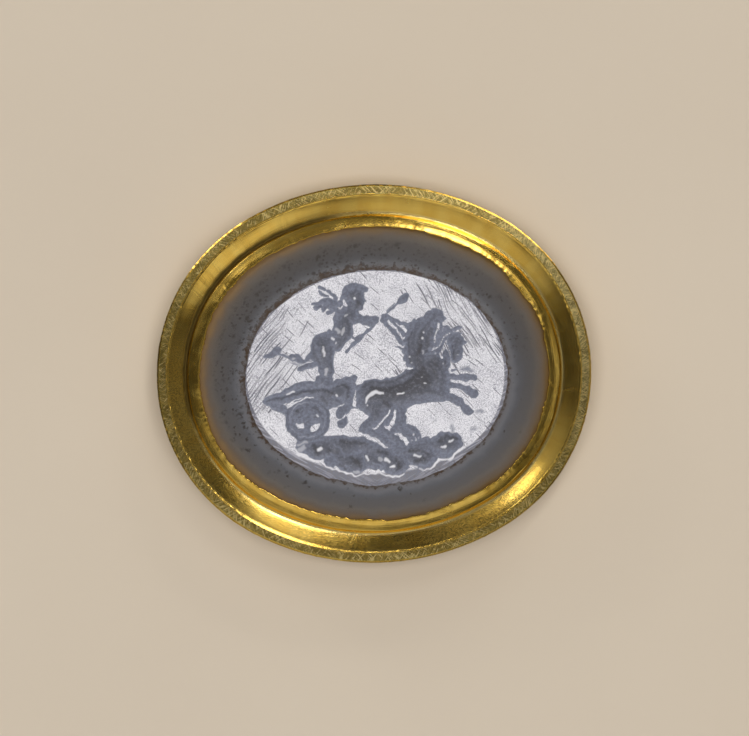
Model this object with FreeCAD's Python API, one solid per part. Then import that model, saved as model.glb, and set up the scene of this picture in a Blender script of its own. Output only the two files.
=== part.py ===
"""An engraved oval gem in a closed gold box setting.

The pieces are those of a goldsmith's bench. A side wall and a collar stand on a floor plate, a
hollow-curved frame joins the two at the top, and the stone rests on a bearer inside the collar,
whose upper edge is burnished over it. All ovals are drawn with four arcs. The rings share their
centres, so each ring is one section, turned about those centres.

Millimetres. The origin is the centre of the underside, +X runs along the long axis, +Z is up.
"""

import FreeCAD, Part

import math
import os
from collections import namedtuple

# Plan of the setting. The end arcs of an oval are a little larger than the bend of an ellipse of
# the same length and width at its ends, which their share gives.
setting_half_length = 11.15
setting_half_width = 9.71
end_bend_share = 1.085

# Floor plate
floor_thickness = 0.50
floor_chamfer = 0.12

# Solder seams
seam_thickness = 0.05

# Side wall, with the filed land on its top edge
side_wall_thickness = 0.36
rim_height = 3.38
rim_chamfer = 0.06
land_width = 0.56
land_rise = 0.21

# Hollow-curved frame between the land and the collar
hollow_width = 0.90
hollow_depth = 0.62
hollow_sag = 0.08
frame_joint_depth = 0.24
frame_thickness = 0.22

# Collar, burnished over the stone
collar_thickness = 0.35
burnished_width = 0.74
burnished_rise = 0.32
burnished_crown = 0.09
lip_thickness = 0.10

# Stone
stone_clearance = 0.03
girdle_band = 0.10
slope_rise = 1.30
stone_back_taper = 0.32
end_slope_run = 2.62
side_slope_run = 2.37
table_shift_x = 0.10
table_shift_y = -0.20

# Bearer under the stone
bearer_width = 0.80
bearer_height = 0.85

# The main masses of the engraving, cut with round-nosed tools. Places and half widths are shares
# of the picture's reach from the setting's centre, before the picture is tilted. The depth of a
# cut is a share of its half width.
picture_margin = 0.12
picture_tilt = -1.6
ball_depth_share = 0.42
groove_depth_share = 0.50
ball_cut_shares = {
    "youth's belly": [(-0.26, 0.27, 0.075)],
    "youth's hand": [(0.08, 0.42, 0.030)],
    "goad's knob": [(0.24, 0.59, 0.040)],
    "goad's grip": [(-0.10, 0.28, 0.035)],
    "wheel's hub": [(-0.51, -0.365, 0.030)],
    "horse's rump": [(-0.03, -0.17, 0.120)],
    "horse's chest": [(0.38, -0.05, 0.175)],
    "mane": [
        (0.24, 0.36, 0.040),
        (0.21, 0.27, 0.040),
        (0.22, 0.19, 0.040),
        (0.25, 0.12, 0.040),
    ],
    "clouds": [
        (-0.58, -0.57, 0.090),
        (-0.42, -0.60, 0.095),
        (-0.25, -0.62, 0.100),
        (-0.11, -0.64, 0.090),
        (0.01, -0.71, 0.075),
        (0.13, -0.69, 0.080),
        (0.24, -0.58, 0.085),
        (0.36, -0.63, 0.110),
        (0.56, -0.55, 0.125),
    ],
}
groove_cut_shares = {
    "youth's head": [(-0.18, 0.61, -0.14, 0.55, 0.090)],
    "youth's torso": [(-0.21, 0.45, -0.25, 0.30, 0.070)],
    "youth's arm": [(-0.19, 0.43, 0.02, 0.42, 0.040)],
    "youth's hips": [(-0.27, 0.25, -0.38, 0.20, 0.065)],
    "youth's legs": [
        (-0.41, 0.21, -0.36, 0.06, 0.080),
        (-0.36, 0.06, -0.34, -0.05, 0.060),
        (-0.50, 0.12, -0.57, 0.04, 0.045),
        (-0.54, 0.11, -0.70, 0.15, 0.030),
        (-0.75, 0.18, -0.84, 0.13, 0.030),
    ],
    "wings": [
        (-0.26, 0.57, -0.42, 0.66, 0.025),
        (-0.29, 0.53, -0.44, 0.54, 0.035),
    ],
    "goad": [
        (-0.01, 0.37, -0.19, 0.19, 0.018),
        (0.10, 0.46, 0.20, 0.55, 0.020),
    ],
    "reins": [
        (0.10, 0.42, 0.27, 0.35, 0.016),
        (0.10, 0.39, 0.24, 0.21, 0.016),
    ],
    "chariot": [
        (-0.87, -0.21, -0.58, -0.12, 0.045),
        (-0.58, -0.12, -0.24, -0.08, 0.060),
        (-0.19, -0.06, -0.25, -0.22, 0.060),
    ],
    "wheel's spokes": [
        (-0.61, -0.365, -0.41, -0.365, 0.014),
        (-0.51, -0.265, -0.51, -0.465, 0.014),
    ],
    "horses' barrel": [(0.02, -0.16, 0.26, -0.11, 0.105)],
    "horses' necks": [
        (0.36, 0.05, 0.38, 0.29, 0.100),
        (0.52, 0.05, 0.58, 0.22, 0.050),
    ],
    "horses' heads": [
        (0.42, 0.36, 0.51, 0.46, 0.055),
        (0.65, 0.27, 0.66, 0.16, 0.060),
    ],
    "forelegs": [
        (0.55, 0.01, 0.79, -0.02, 0.035),
        (0.56, -0.10, 0.82, -0.17, 0.037),
        (0.55, -0.17, 0.68, -0.23, 0.045),
        (0.70, -0.25, 0.75, -0.31, 0.045),
    ],
    "hind legs": [
        (0.08, -0.24, -0.04, -0.42, 0.045),
        (0.21, -0.25, 0.19, -0.41, 0.035),
        (-0.03, -0.46, 0.14, -0.53, 0.030),
        (0.22, -0.42, 0.40, -0.51, 0.030),
    ],
}
wheel_rim_shares = (-0.51, -0.365, 0.150, 0.028)

# Insets of the faces from the setting's outline, from outside to inside
rim_seam_outer = side_wall_thickness
rim_seam_inner = rim_seam_outer + seam_thickness
crest_inset = land_width
collar_outer = crest_inset + hollow_width
frame_inner = collar_outer - seam_thickness
collar_inner = collar_outer + collar_thickness
lip_inset = collar_outer + burnished_width
girdle_inset = collar_inner + stone_clearance
stone_back_inset = girdle_inset + stone_back_taper
bearer_outer = collar_inner + stone_clearance
bearer_inner = bearer_outer + bearer_width

# Heights of the faces over the underside
wall_foot = floor_thickness + seam_thickness
land_slope = land_rise / land_width
crest_height = rim_height + land_rise
valley_height = crest_height - hollow_depth
lip_height = valley_height + burnished_rise
bearer_top = floor_thickness + bearer_height

# The slope of the stone is steepest where its run from girdle to table is shortest
shortest_run = min(
    end_slope_run - abs(table_shift_x), side_slope_run - abs(table_shift_y)
)
steepest_slope = slope_rise / shortest_run
girdle_top = (
    lip_height
    - lip_thickness
    - stone_clearance
    - (lip_inset - girdle_inset) * steepest_slope
)
girdle_foot = girdle_top - girdle_band
table_height = girdle_top + slope_rise

# Plan of the table and of the picture on it
table_half_length = setting_half_length - girdle_inset - end_slope_run
table_half_width = setting_half_width - girdle_inset - side_slope_run
picture_reach = table_half_length - picture_margin

FLAT_ANGLE = 180.0
FULL_TURN = 360.0
UP = FreeCAD.Vector(0, 0, 1)

Arc = namedtuple("Arc", "x y radius start turn")
Bend = namedtuple("Bend", "through to")


def oval(half_length, half_width, x=0.0, y=0.0):
    """Return the four arcs of an oval, anticlockwise from its +X end."""
    end_radius = end_bend_share * half_width**2 / half_length
    end_offset = half_length - end_radius
    side_radius = (end_offset**2 + half_width**2 - end_radius**2) / (
        2 * (half_width - end_radius)
    )
    side_offset = side_radius - half_width
    half_end = math.degrees(math.atan(side_offset / end_offset))
    side_turn = FLAT_ANGLE - 2 * half_end
    return [
        Arc(x + end_offset, y, end_radius, -half_end, 2 * half_end),
        Arc(x, y - side_offset, side_radius, half_end, side_turn),
        Arc(x - end_offset, y, end_radius, FLAT_ANGLE - half_end, 2 * half_end),
        Arc(x, y + side_offset, side_radius, FLAT_ANGLE + half_end, side_turn),
    ]


SETTING = oval(setting_half_length, setting_half_width)
TABLE = oval(table_half_length, table_half_width, table_shift_x, table_shift_y)


def on_arc(arc, inset, height, share=0.0):
    """Return the point at a share of an arc's turn, inset from the arc towards its centre."""
    angle = math.radians(arc.start + share * arc.turn)
    reach = arc.radius - inset
    return FreeCAD.Vector(
        arc.x + reach * math.cos(angle), arc.y + reach * math.sin(angle), height
    )


def oval_wire(arcs, inset, height):
    """Return a closed oval, inset from the one that the arcs make."""
    shares = (0.0, 0.5, 1.0)
    edges = [
        Part.Arc(*(on_arc(arc, inset, height, share) for share in shares)).toShape()
        for arc in arcs
    ]
    return Part.Wire(edges)


def section_face(arc, section):
    """Return the face of a section of (inset, height) points and bends, at an arc's start."""
    stops = [step.to if isinstance(step, Bend) else step for step in section]
    edges = []
    for step, begin, end in zip(section, stops[-1:] + stops[:-1], stops):
        here = on_arc(arc, *begin)
        there = on_arc(arc, *end)
        if isinstance(step, Bend):
            through = on_arc(arc, *step.through)
            edges.append(Part.Arc(here, through, there).toShape())
        else:
            edges.append(Part.LineSegment(here, there).toShape())
    return Part.Face(Part.Wire(edges))


def joined(solids):
    """Return solids that touch as one solid."""
    return solids[0].fuse(solids[1:]).removeSplitter().Solids[0]


def ring(section):
    """Return the ring that a section makes when it is turned about the setting's four centres."""
    quarters = []
    for arc in SETTING:
        centre = FreeCAD.Vector(arc.x, arc.y, 0)
        quarters.append(section_face(arc, section).revolve(centre, UP, arc.turn))
    return joined(quarters)


def slab(inset, low, high):
    """Return an upright oval slab."""
    face = Part.Face(oval_wire(SETTING, inset, low))
    return face.extrude(UP * (high - low))


def bulge(begin, end, amount):
    """Return the middle of an arc between two section points, to the left of the way there."""
    run = end[0] - begin[0]
    rise = end[1] - begin[1]
    length = math.hypot(run, rise)
    return (
        (begin[0] + end[0]) / 2 - rise / length * amount,
        (begin[1] + end[1]) / 2 + run / length * amount,
    )


def land_height(inset):
    """Return the height of the filed land at an inset from the rim."""
    return rim_height + inset * land_slope


def back_plate():
    """Return the floor plate, its lower edge chamfered."""
    lower = Part.makeLoft(
        [
            oval_wire(SETTING, floor_chamfer, 0),
            oval_wire(SETTING, 0, floor_chamfer),
        ],
        True,
        True,
    )
    return joined([lower, slab(0, floor_chamfer, floor_thickness)])


def back_solder():
    """Return the seam between the floor plate and the side wall."""
    return ring(
        [
            (0, floor_thickness),
            (side_wall_thickness, floor_thickness),
            (side_wall_thickness, wall_foot),
            (0, wall_foot),
        ]
    )


def side_wall():
    """Return the outer wall, its top edge filed to the outer part of the land."""
    return ring(
        [
            (0, wall_foot),
            (side_wall_thickness, wall_foot),
            (side_wall_thickness, land_height(side_wall_thickness)),
            (rim_chamfer, land_height(rim_chamfer)),
            (0, rim_height - rim_chamfer),
        ]
    )


def rim_solder():
    """Return the seam between side wall and hollow frame, which shows as a line in the land."""
    foot = crest_height - frame_joint_depth
    return ring(
        [
            (rim_seam_outer, foot),
            (rim_seam_inner, foot),
            (rim_seam_inner, land_height(rim_seam_inner)),
            (rim_seam_outer, land_height(rim_seam_outer)),
        ]
    )


def cavetto_frame():
    """Return the hollow-curved sheet from the land's inner edge down to the collar."""
    crest = (crest_inset, crest_height)
    valley = (frame_inner, valley_height)
    under_valley = (frame_inner, valley_height - frame_thickness)
    under_crest = (rim_seam_inner, crest_height - frame_joint_depth)
    hollow = bulge(crest, valley, -hollow_sag)
    return ring(
        [
            crest,
            Bend(hollow, valley),
            under_valley,
            Bend(bulge(under_valley, under_crest, hollow_sag), under_crest),
            (rim_seam_inner, land_height(rim_seam_inner)),
        ]
    )


def collar_solder():
    """Return the seam between hollow frame and collar, at the bottom of the hollow."""
    return ring(
        [
            (frame_inner, valley_height - frame_thickness),
            (collar_outer, valley_height - frame_thickness),
            (collar_outer, valley_height),
            (frame_inner, valley_height),
        ]
    )


def bezel_collar():
    """Return the collar, its upper edge bent inwards over the stone and burnished thin."""
    shoulder = (collar_outer, valley_height)
    lip = (lip_inset, lip_height)
    throat_height = girdle_top + stone_clearance
    return ring(
        [
            (collar_outer, floor_thickness),
            shoulder,
            Bend(bulge(shoulder, lip, burnished_crown), lip),
            (lip_inset, lip_height - lip_thickness),
            (collar_inner, throat_height),
            (collar_inner, floor_thickness),
        ]
    )


def bearer_ring():
    """Return the ledge that carries the edge of the stone's back."""
    return ring(
        [
            (bearer_outer, floor_thickness),
            (bearer_inner, floor_thickness),
            (bearer_inner, bearer_top),
            (bearer_outer, bearer_top),
        ]
    )


def bedding():
    """Return the compound that fills the bearer and beds the middle of the stone."""
    return slab(bearer_inner, floor_thickness, bearer_top)


def on_table(x_share, y_share, lift):
    """Return a place of the tilted picture, lifted over the table."""
    tilt = math.radians(picture_tilt)
    across = x_share * math.cos(tilt) - y_share * math.sin(tilt)
    along = x_share * math.sin(tilt) + y_share * math.cos(tilt)
    return FreeCAD.Vector(
        across * picture_reach, along * picture_reach, table_height + lift
    )


def nose(half_width, depth):
    """Return the radius of the round tool that cuts this half width at this depth."""
    return (half_width**2 + depth**2) / (2 * depth)


def ball_cut(x_share, y_share, width_share):
    """Return the ball of a tool that is held still."""
    half_width = width_share * picture_reach
    depth = half_width * ball_depth_share
    radius = nose(half_width, depth)
    return Part.makeSphere(radius, on_table(x_share, y_share, radius - depth))


def groove_cut(x_share, y_share, to_x_share, to_y_share, width_share):
    """Return the round-ended bar that a tool sweeps when it is drawn from place to place."""
    half_width = width_share * picture_reach
    depth = half_width * groove_depth_share
    radius = nose(half_width, depth)
    begin = on_table(x_share, y_share, radius - depth)
    end = on_table(to_x_share, to_y_share, radius - depth)
    along = (end - begin).normalize() * radius
    diagonal = math.sqrt(0.5)
    side = UP * radius
    near_tip, near_side = begin - along, begin + side
    far_tip, far_side = end + along, end + side
    outline = [
        Part.Arc(near_tip, begin + (side - along) * diagonal, near_side).toShape(),
        Part.LineSegment(near_side, far_side).toShape(),
        Part.Arc(far_side, end + (side + along) * diagonal, far_tip).toShape(),
        Part.LineSegment(far_tip, near_tip).toShape(),
    ]
    return Part.Face(Part.Wire(outline)).revolve(begin, along, FULL_TURN)


def wheel_rim_cut():
    """Return the ring that cuts the rim of the chariot's wheel."""
    x_share, y_share, rim_share, width_share = wheel_rim_shares
    half_width = width_share * picture_reach
    depth = half_width * groove_depth_share
    radius = nose(half_width, depth)
    centre = on_table(x_share, y_share, radius - depth)
    return Part.makeTorus(rim_share * picture_reach, radius, centre)


def gem():
    """Return the stone: back, girdle, slopes and table, with the engraving cut into it."""
    girdle_low = oval_wire(SETTING, girdle_inset, girdle_foot)
    girdle_high = oval_wire(SETTING, girdle_inset, girdle_top)
    back = Part.makeLoft(
        [oval_wire(SETTING, stone_back_inset, bearer_top), girdle_low], True, True
    )
    slopes = Part.makeLoft(
        [girdle_high, oval_wire(TABLE, 0, table_height)], True, True
    )
    stone = joined([back, slab(girdle_inset, girdle_foot, girdle_top), slopes])
    balls = [ball_cut(*cut) for cuts in ball_cut_shares.values() for cut in cuts]
    grooves = [groove_cut(*cut) for cuts in groove_cut_shares.values() for cut in cuts]
    return stone.cut(balls + grooves + [wheel_rim_cut()])


PIECES = (
    back_plate,
    back_solder,
    side_wall,
    rim_solder,
    cavetto_frame,
    collar_solder,
    bezel_collar,
    bearer_ring,
    bedding,
    gem,
)


def main():
    """Write each piece to its own file."""
    os.makedirs("parts", exist_ok=True)
    for make in PIECES:
        shape = make()
        shape.exportStep(f"parts/{make.__name__}.step")
        print(
            f"{make.__name__}: valid {shape.isValid()}, solids {len(shape.Solids)}, "
            f"{shape.Volume:.2f} mm3"
        )


main()
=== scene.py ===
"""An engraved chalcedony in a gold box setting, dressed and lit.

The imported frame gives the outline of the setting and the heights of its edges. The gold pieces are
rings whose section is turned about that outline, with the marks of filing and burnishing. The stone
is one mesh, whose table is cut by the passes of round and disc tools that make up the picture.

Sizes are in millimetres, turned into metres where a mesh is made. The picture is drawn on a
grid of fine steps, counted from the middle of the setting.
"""

from __future__ import annotations

import logging
import math
from collections.abc import Iterable, Iterator
from dataclasses import dataclass, fields
from enum import Enum
from functools import reduce

import bpy
import numpy as np
from mathutils import Matrix, Vector


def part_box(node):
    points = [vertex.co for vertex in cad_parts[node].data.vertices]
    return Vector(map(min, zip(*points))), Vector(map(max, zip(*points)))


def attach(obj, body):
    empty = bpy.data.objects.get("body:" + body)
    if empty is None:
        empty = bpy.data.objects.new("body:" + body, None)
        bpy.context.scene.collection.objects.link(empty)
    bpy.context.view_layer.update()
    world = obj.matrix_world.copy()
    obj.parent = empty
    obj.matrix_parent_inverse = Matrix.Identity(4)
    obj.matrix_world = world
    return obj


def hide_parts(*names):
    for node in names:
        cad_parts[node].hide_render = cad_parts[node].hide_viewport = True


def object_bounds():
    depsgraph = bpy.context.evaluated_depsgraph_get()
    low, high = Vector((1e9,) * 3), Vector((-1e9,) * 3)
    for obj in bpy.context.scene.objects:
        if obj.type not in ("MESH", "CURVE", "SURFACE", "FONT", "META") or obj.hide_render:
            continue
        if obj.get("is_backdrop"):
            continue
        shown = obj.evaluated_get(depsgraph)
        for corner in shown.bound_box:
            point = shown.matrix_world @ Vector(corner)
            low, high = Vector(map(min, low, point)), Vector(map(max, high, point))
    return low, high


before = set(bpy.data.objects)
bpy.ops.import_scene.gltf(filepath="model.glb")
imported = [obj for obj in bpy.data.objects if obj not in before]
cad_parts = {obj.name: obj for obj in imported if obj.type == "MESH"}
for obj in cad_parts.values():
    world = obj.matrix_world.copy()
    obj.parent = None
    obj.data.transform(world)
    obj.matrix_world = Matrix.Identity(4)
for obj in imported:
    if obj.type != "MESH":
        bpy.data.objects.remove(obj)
CAD_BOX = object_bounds()

LOG = logging.getLogger("gem")
MM = 0.001
BODY = "root"

Colour = tuple[float, float, float, float]
Point = tuple[float, float]
Pass = tuple[float, ...]
Socket = bpy.types.NodeSocket


class Slot(Enum):
    """The record's material slots."""

    STONE = "chalcedony"
    GOLD = "gold"
    SOLDER = "gold_solder"
    BEDDING = "bedding_compound"


def shade(red: int, green: int, blue: int, gain: float = 1.0) -> Colour:
    """Return a display colour of 0 to 255 as a linear one.

    Args:
        red: Red as displayed.
        green: Green as displayed.
        blue: Blue as displayed.
        gain: Factor on the linear colour.

    Returns:
        The linear colour with full alpha.
    """

    def linear(value: int) -> float:
        """Return one channel as linear light."""
        share = value / 255
        return share / 12.92 if share <= 0.04045 else ((share + 0.055) / 1.055) ** 2.4

    return (*(linear(value) * gain for value in (red, green, blue)), 1.0)


class Sheet:
    """A node tree with short calls to add, feed and read nodes."""

    def __init__(self, tree: bpy.types.NodeTree) -> None:
        """Take over an empty tree.

        Args:
            tree: The tree to write in.
        """
        self.tree = tree

    def feed(self, socket: Socket, value: object) -> None:
        """Link a socket to another, or set its value.

        Args:
            socket: The input.
            value: A socket, or a plain value.
        """
        if isinstance(value, Socket):
            self.tree.links.new(value, socket)
        else:
            socket.default_value = value

    def add(self, kind: str, inputs: dict | None = None, **settings: object) -> bpy.types.Node:
        """Add a node.

        Args:
            kind: The node's type, without its common prefix.
            inputs: Values or sockets by input name or number.
            settings: The node's own options.

        Returns:
            The node.
        """
        node = self.tree.nodes.new("ShaderNode" + kind)
        for name, value in settings.items():
            setattr(node, name, value)
        for name, value in (inputs or {}).items():
            self.feed(node.inputs[name], value)
        return node

    def math(self, operation: str, first: object, second: object = 0.0) -> Socket:
        """Return the result of a sum on two numbers."""
        return self.add("Math", {0: first, 1: second}, operation=operation).outputs[0]

    def most(self, values: Iterable[Socket]) -> Socket:
        """Return the largest of several numbers."""
        return reduce(lambda first, second: self.math("MAXIMUM", first, second), values)

    def attribute(self, name: str, output: str = "Fac") -> Socket:
        """Return what the mesh carries under a name."""
        return self.add("Attribute", attribute_name=name).outputs[output]

    def parts(self, vector: object) -> list[Socket]:
        """Return a vector's three numbers."""
        return list(self.add("SeparateXYZ", {0: vector}).outputs)

    def turned(self, vector: object, angle: object) -> Socket:
        """Return a vector turned about the upright axis."""
        return self.add("VectorRotate", {"Vector": vector, "Angle": angle}, rotation_type="Z_AXIS").outputs[0]

    def blend(self, share: object, first: object, second: object) -> Socket:
        """Return a blend of two numbers."""
        return self.add("Mix", {0: share, 2: first, 3: second}).outputs[0]

    def millimetres(self) -> Socket:
        """Return places on the object, in millimetres."""
        return self.vector("MULTIPLY", self.add("TexCoord").outputs["Object"], (1 / MM,) * 3)

    def vector(self, operation: str, first: object, second: object) -> Socket:
        """Return the result of a sum on two vectors."""
        node = self.add("VectorMath", {0: first, 1: second}, operation=operation)
        return node.outputs["Value" if operation == "DOT_PRODUCT" else "Vector"]

    def ramp(
        self, value: object, low: object, high: object, to_low: float = 0.0, to_high: float = 1.0
    ) -> Socket:
        """Return a value eased from one range to another.

        Args:
            value: The value to map.
            low: Where the easing starts, a number or a socket.
            high: Where it ends, the same.
            to_low: What it starts from.
            to_high: What it ends at.

        Returns:
            The mapped value.
        """
        inputs = {0: value, 1: low, 2: high, 3: to_low, 4: to_high}
        return self.add("MapRange", inputs, interpolation_type="SMOOTHSTEP").outputs[0]

    def mix(self, share: object, first: object, second: object, blend: str = "MIX") -> Socket:
        """Return a blend of two colours.

        Args:
            share: How much of the second shows.
            first: The colour below.
            second: The colour above.
            blend: How they are blended.

        Returns:
            The blended colour.
        """
        node = self.add("Mix", data_type="RGBA", blend_type=blend)
        for socket, value in zip((node.inputs[0], node.inputs[6], node.inputs[7]), (share, first, second)):
            self.feed(socket, value)
        return node.outputs[2]

    def noise(self, place: object, scale: object, detail: float = 2.0, rough: float = 0.5) -> Socket:
        """Return smooth noise.

        Args:
            place: Where to read it.
            scale: Bumps per unit of place.
            detail: Octaves.
            rough: Weight of the finer octaves.

        Returns:
            The noise, about 0.2 to 0.8.
        """
        inputs = {"Vector": place, "Scale": scale, "Detail": detail, "Roughness": rough}
        return self.add("TexNoise", inputs).outputs["Fac"]

    def bands(self, value: object, stops: list[tuple[float, Colour]]) -> Socket:
        """Return a colour from a row of stops.

        Args:
            value: Where along the row.
            stops: Places from 0 to 1 with their colours.

        Returns:
            The colour.
        """
        node = self.add("ValToRGB", {0: value})
        elements = node.color_ramp.elements
        while len(elements) < len(stops):
            elements.new(0.5)
        for element, (position, colour) in zip(elements, stops):
            element.position = position
            element.color = colour
        return node.outputs["Color"]

    def group(self, tree: bpy.types.NodeTree, inputs: dict) -> bpy.types.Node:
        """Place a node group with its own values."""
        node = self.tree.nodes.new("ShaderNodeGroup")
        node.node_tree = tree
        for name, value in inputs.items():
            self.feed(node.inputs[name], value)
        return node


def effect(name: str, inputs: dict[str, str], outputs: dict[str, str]) -> tuple[Sheet, dict, dict]:
    """Start a shader node group.

    Args:
        name: The group's name.
        inputs: Socket types by input name.
        outputs: Socket types by output name.

    Returns:
        The group's sheet, its inputs' sockets and its outputs' sockets.
    """
    tree = bpy.data.node_groups.new(name, "ShaderNodeTree")
    for way, sockets in (("INPUT", inputs), ("OUTPUT", outputs)):
        for title, kind in sockets.items():
            tree.interface.new_socket(title, in_out=way, socket_type="NodeSocket" + kind)
    begin = tree.nodes.new("NodeGroupInput")
    end = tree.nodes.new("NodeGroupOutput")
    return Sheet(tree), begin.outputs, end.inputs


def streak_effect() -> bpy.types.NodeTree:
    """Return the group of marks that run across a ring or along it, straight or at a lean.

    The place's third part is the inset. A lean twists the ring's round about the middle as the
    inset grows, so that the marks run askew.
    """
    inputs = {"Place": "Vector"} | dict.fromkeys(("Lean", "Round Scale", "Inset Scale", "Coverage"), "Float")
    sheet, given, out = effect("tool_streaks", inputs, {"Height": "Float", "Lines": "Float"})
    inset = sheet.parts(given["Place"])[2]
    twist = sheet.math("MULTIPLY", inset, sheet.math("MULTIPLY", given["Lean"], 0.12))
    scales = {0: given["Round Scale"], 1: given["Round Scale"], 2: given["Inset Scale"]}
    scale = sheet.add("CombineXYZ", scales).outputs[0]
    place = sheet.vector("MULTIPLY", sheet.turned(given["Place"], twist), scale)
    fine = sheet.noise(place, 1.0, 2.0, 0.6)
    shifted = sheet.vector("ADD", given["Place"], (3.1, 0.0, 5.7))
    patches = sheet.noise(sheet.turned(shifted, given["Lean"]), 1.1, 2.0)
    bare = sheet.math("MULTIPLY", sheet.math("SUBTRACT", 1.0, given["Coverage"]), 0.45)
    threshold = sheet.math("ADD", bare, 0.28)
    low, high = sheet.math("SUBTRACT", threshold, 0.1), sheet.math("ADD", threshold, 0.1)
    mask = sheet.ramp(patches, low, high)
    sheet.feed(out["Height"], sheet.math("MULTIPLY", fine, mask))
    sheet.feed(out["Lines"], sheet.math("MULTIPLY", sheet.ramp(fine, 0.45, 0.57), mask))
    return sheet.tree


def scratch_effect() -> bpy.types.NodeTree:
    """Return the group of straight scratches that all run one way, each with its own place and length."""
    inputs = {"Place": "Vector"} | dict.fromkeys(("Angle", "Length", "Pitch", "Width", "Share"), "Float")
    sheet, given, out = effect("long_scratches", inputs, {"Mask": "Float"})
    turned = sheet.turned(given["Place"], given["Angle"])
    parts = sheet.parts(turned)
    bend = sheet.ramp(sheet.noise(turned, 0.35, 1.0), 0.3, 0.7, -0.1, 0.1)
    row = sheet.math("DIVIDE", sheet.math("ADD", parts[1], bend), given["Pitch"])
    line = sheet.math("FLOOR", row)
    chance = sheet.add("TexWhiteNoise", {"W": line}, noise_dimensions="1D").outputs["Value"]
    shift = sheet.math("MULTIPLY", chance, 17.0)
    along = sheet.math("ADD", sheet.math("DIVIDE", parts[0], given["Length"]), shift)
    piece = sheet.math("FLOOR", along)
    cell = sheet.add("CombineXYZ", {0: line, 1: piece}).outputs[0]
    drawn = sheet.add("TexWhiteNoise", {"Vector": cell}, noise_dimensions="3D").outputs
    own = sheet.parts(drawn["Color"])
    middle = sheet.ramp(own[1], 0.0, 1.0, 0.25, 0.75)
    away = sheet.math("ABSOLUTE", sheet.math("SUBTRACT", sheet.math("SUBTRACT", row, line), middle))
    mask = sheet.ramp(away, sheet.math("MULTIPLY", given["Width"], 0.4), given["Width"], 1.0, 0.0)
    run = sheet.math("SUBTRACT", along, piece)
    ends = sheet.math("MULTIPLY", sheet.ramp(run, 0.0, 0.2), sheet.ramp(run, 1.0, 0.6))
    kept = sheet.math("MULTIPLY", sheet.math("LESS_THAN", drawn["Value"], given["Share"]), ends)
    force = sheet.math("MULTIPLY", kept, sheet.ramp(own[2], 0.0, 1.0, 0.5, 1.0))
    sheet.feed(out["Mask"], sheet.math("MULTIPLY", mask, force))
    return sheet.tree


def pit_effect() -> bpy.types.NodeTree:
    """Return the group of small round pits, some larger than others."""
    inputs = {"Place": "Vector"} | dict.fromkeys(("Pitch", "Size", "Share"), "Float")
    sheet, given, out = effect("pits", inputs, {"Mask": "Float"})
    scale = sheet.math("DIVIDE", 1.0, given["Pitch"])
    wobble = sheet.noise(given["Place"], sheet.math("MULTIPLY", scale, 1.7), 2.0)
    place = sheet.vector("ADD", given["Place"], sheet.math("MULTIPLY", wobble, given["Pitch"]))
    cells = sheet.add("TexVoronoi", {"Vector": place, "Scale": scale}).outputs
    chosen = sheet.math("LESS_THAN", cells["Color"], given["Share"])
    edge = sheet.ramp(cells["Distance"], 0.0, given["Size"], 1.0, 0.0)
    sheet.feed(out["Mask"], sheet.math("MULTIPLY", edge, chosen))
    return sheet.tree


@dataclass(frozen=True)
class Effects:
    """The node groups that several finishes share, with short calls to place each."""

    streak_tree: bpy.types.NodeTree
    scratch_tree: bpy.types.NodeTree
    pit_tree: bpy.types.NodeTree

    def streaks(self, sheet: Sheet, place: object, output: str, *values: float) -> Socket:
        """Return streaks, from their lean, round scale, inset scale and coverage."""
        inputs = dict(zip(("Lean", "Round Scale", "Inset Scale", "Coverage"), values))
        return sheet.group(self.streak_tree, {"Place": place} | inputs).outputs[output]

    def scratches(self, sheet: Sheet, place: object, *values: object) -> Socket:
        """Return scratches, from their angle, length, pitch, width and share."""
        inputs = dict(zip(("Angle", "Length", "Pitch", "Width", "Share"), values))
        return sheet.group(self.scratch_tree, {"Place": place} | inputs).outputs["Mask"]

    def pits(self, sheet: Sheet, place: object, *values: object) -> Socket:
        """Return pits, from their pitch, size and share."""
        inputs = dict(zip(("Pitch", "Size", "Share"), values))
        return sheet.group(self.pit_tree, {"Place": place} | inputs).outputs["Mask"]


EFFECTS = Effects(streak_effect(), scratch_effect(), pit_effect())


def new_material(name: str) -> tuple[bpy.types.Material, Sheet, bpy.types.Node]:
    """Return a new material, its sheet and its shader.

    Args:
        name: The material's name.

    Returns:
        The material, the sheet of its nodes and its Principled node.
    """
    material = bpy.data.materials.new(name)
    material.use_nodes = True
    sheet = Sheet(material.node_tree)
    material.node_tree.nodes.clear()
    shader = sheet.add("BsdfPrincipled")
    end = sheet.add("OutputMaterial")
    sheet.feed(end.inputs["Surface"], shader.outputs[0])
    return material, sheet, shader


def bumped(sheet: Sheet, layers: list[tuple[object, float]]) -> Socket:
    """Return a normal with several layers of bumps.

    Args:
        sheet: The material's sheet.
        layers: Heights with the size in millimetres of each, under 0 where they go down.

    Returns:
        The normal.
    """
    normal = None
    for height, depth in layers:
        inputs = {"Height": height, "Distance": depth * MM, "Strength": 1.0}
        if depth < 0:
            inputs |= {"Height": sheet.math("MULTIPLY", height, -1.0), "Distance": -depth * MM}
        if normal is not None:
            inputs["Normal"] = normal
        normal = sheet.add("Bump", inputs).outputs[0]
    return normal


class Place(Enum):
    """Where a finish reads its marks: round the ring, or straight over the piece."""

    RING = "ring"
    FLAT = "flat"


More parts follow.
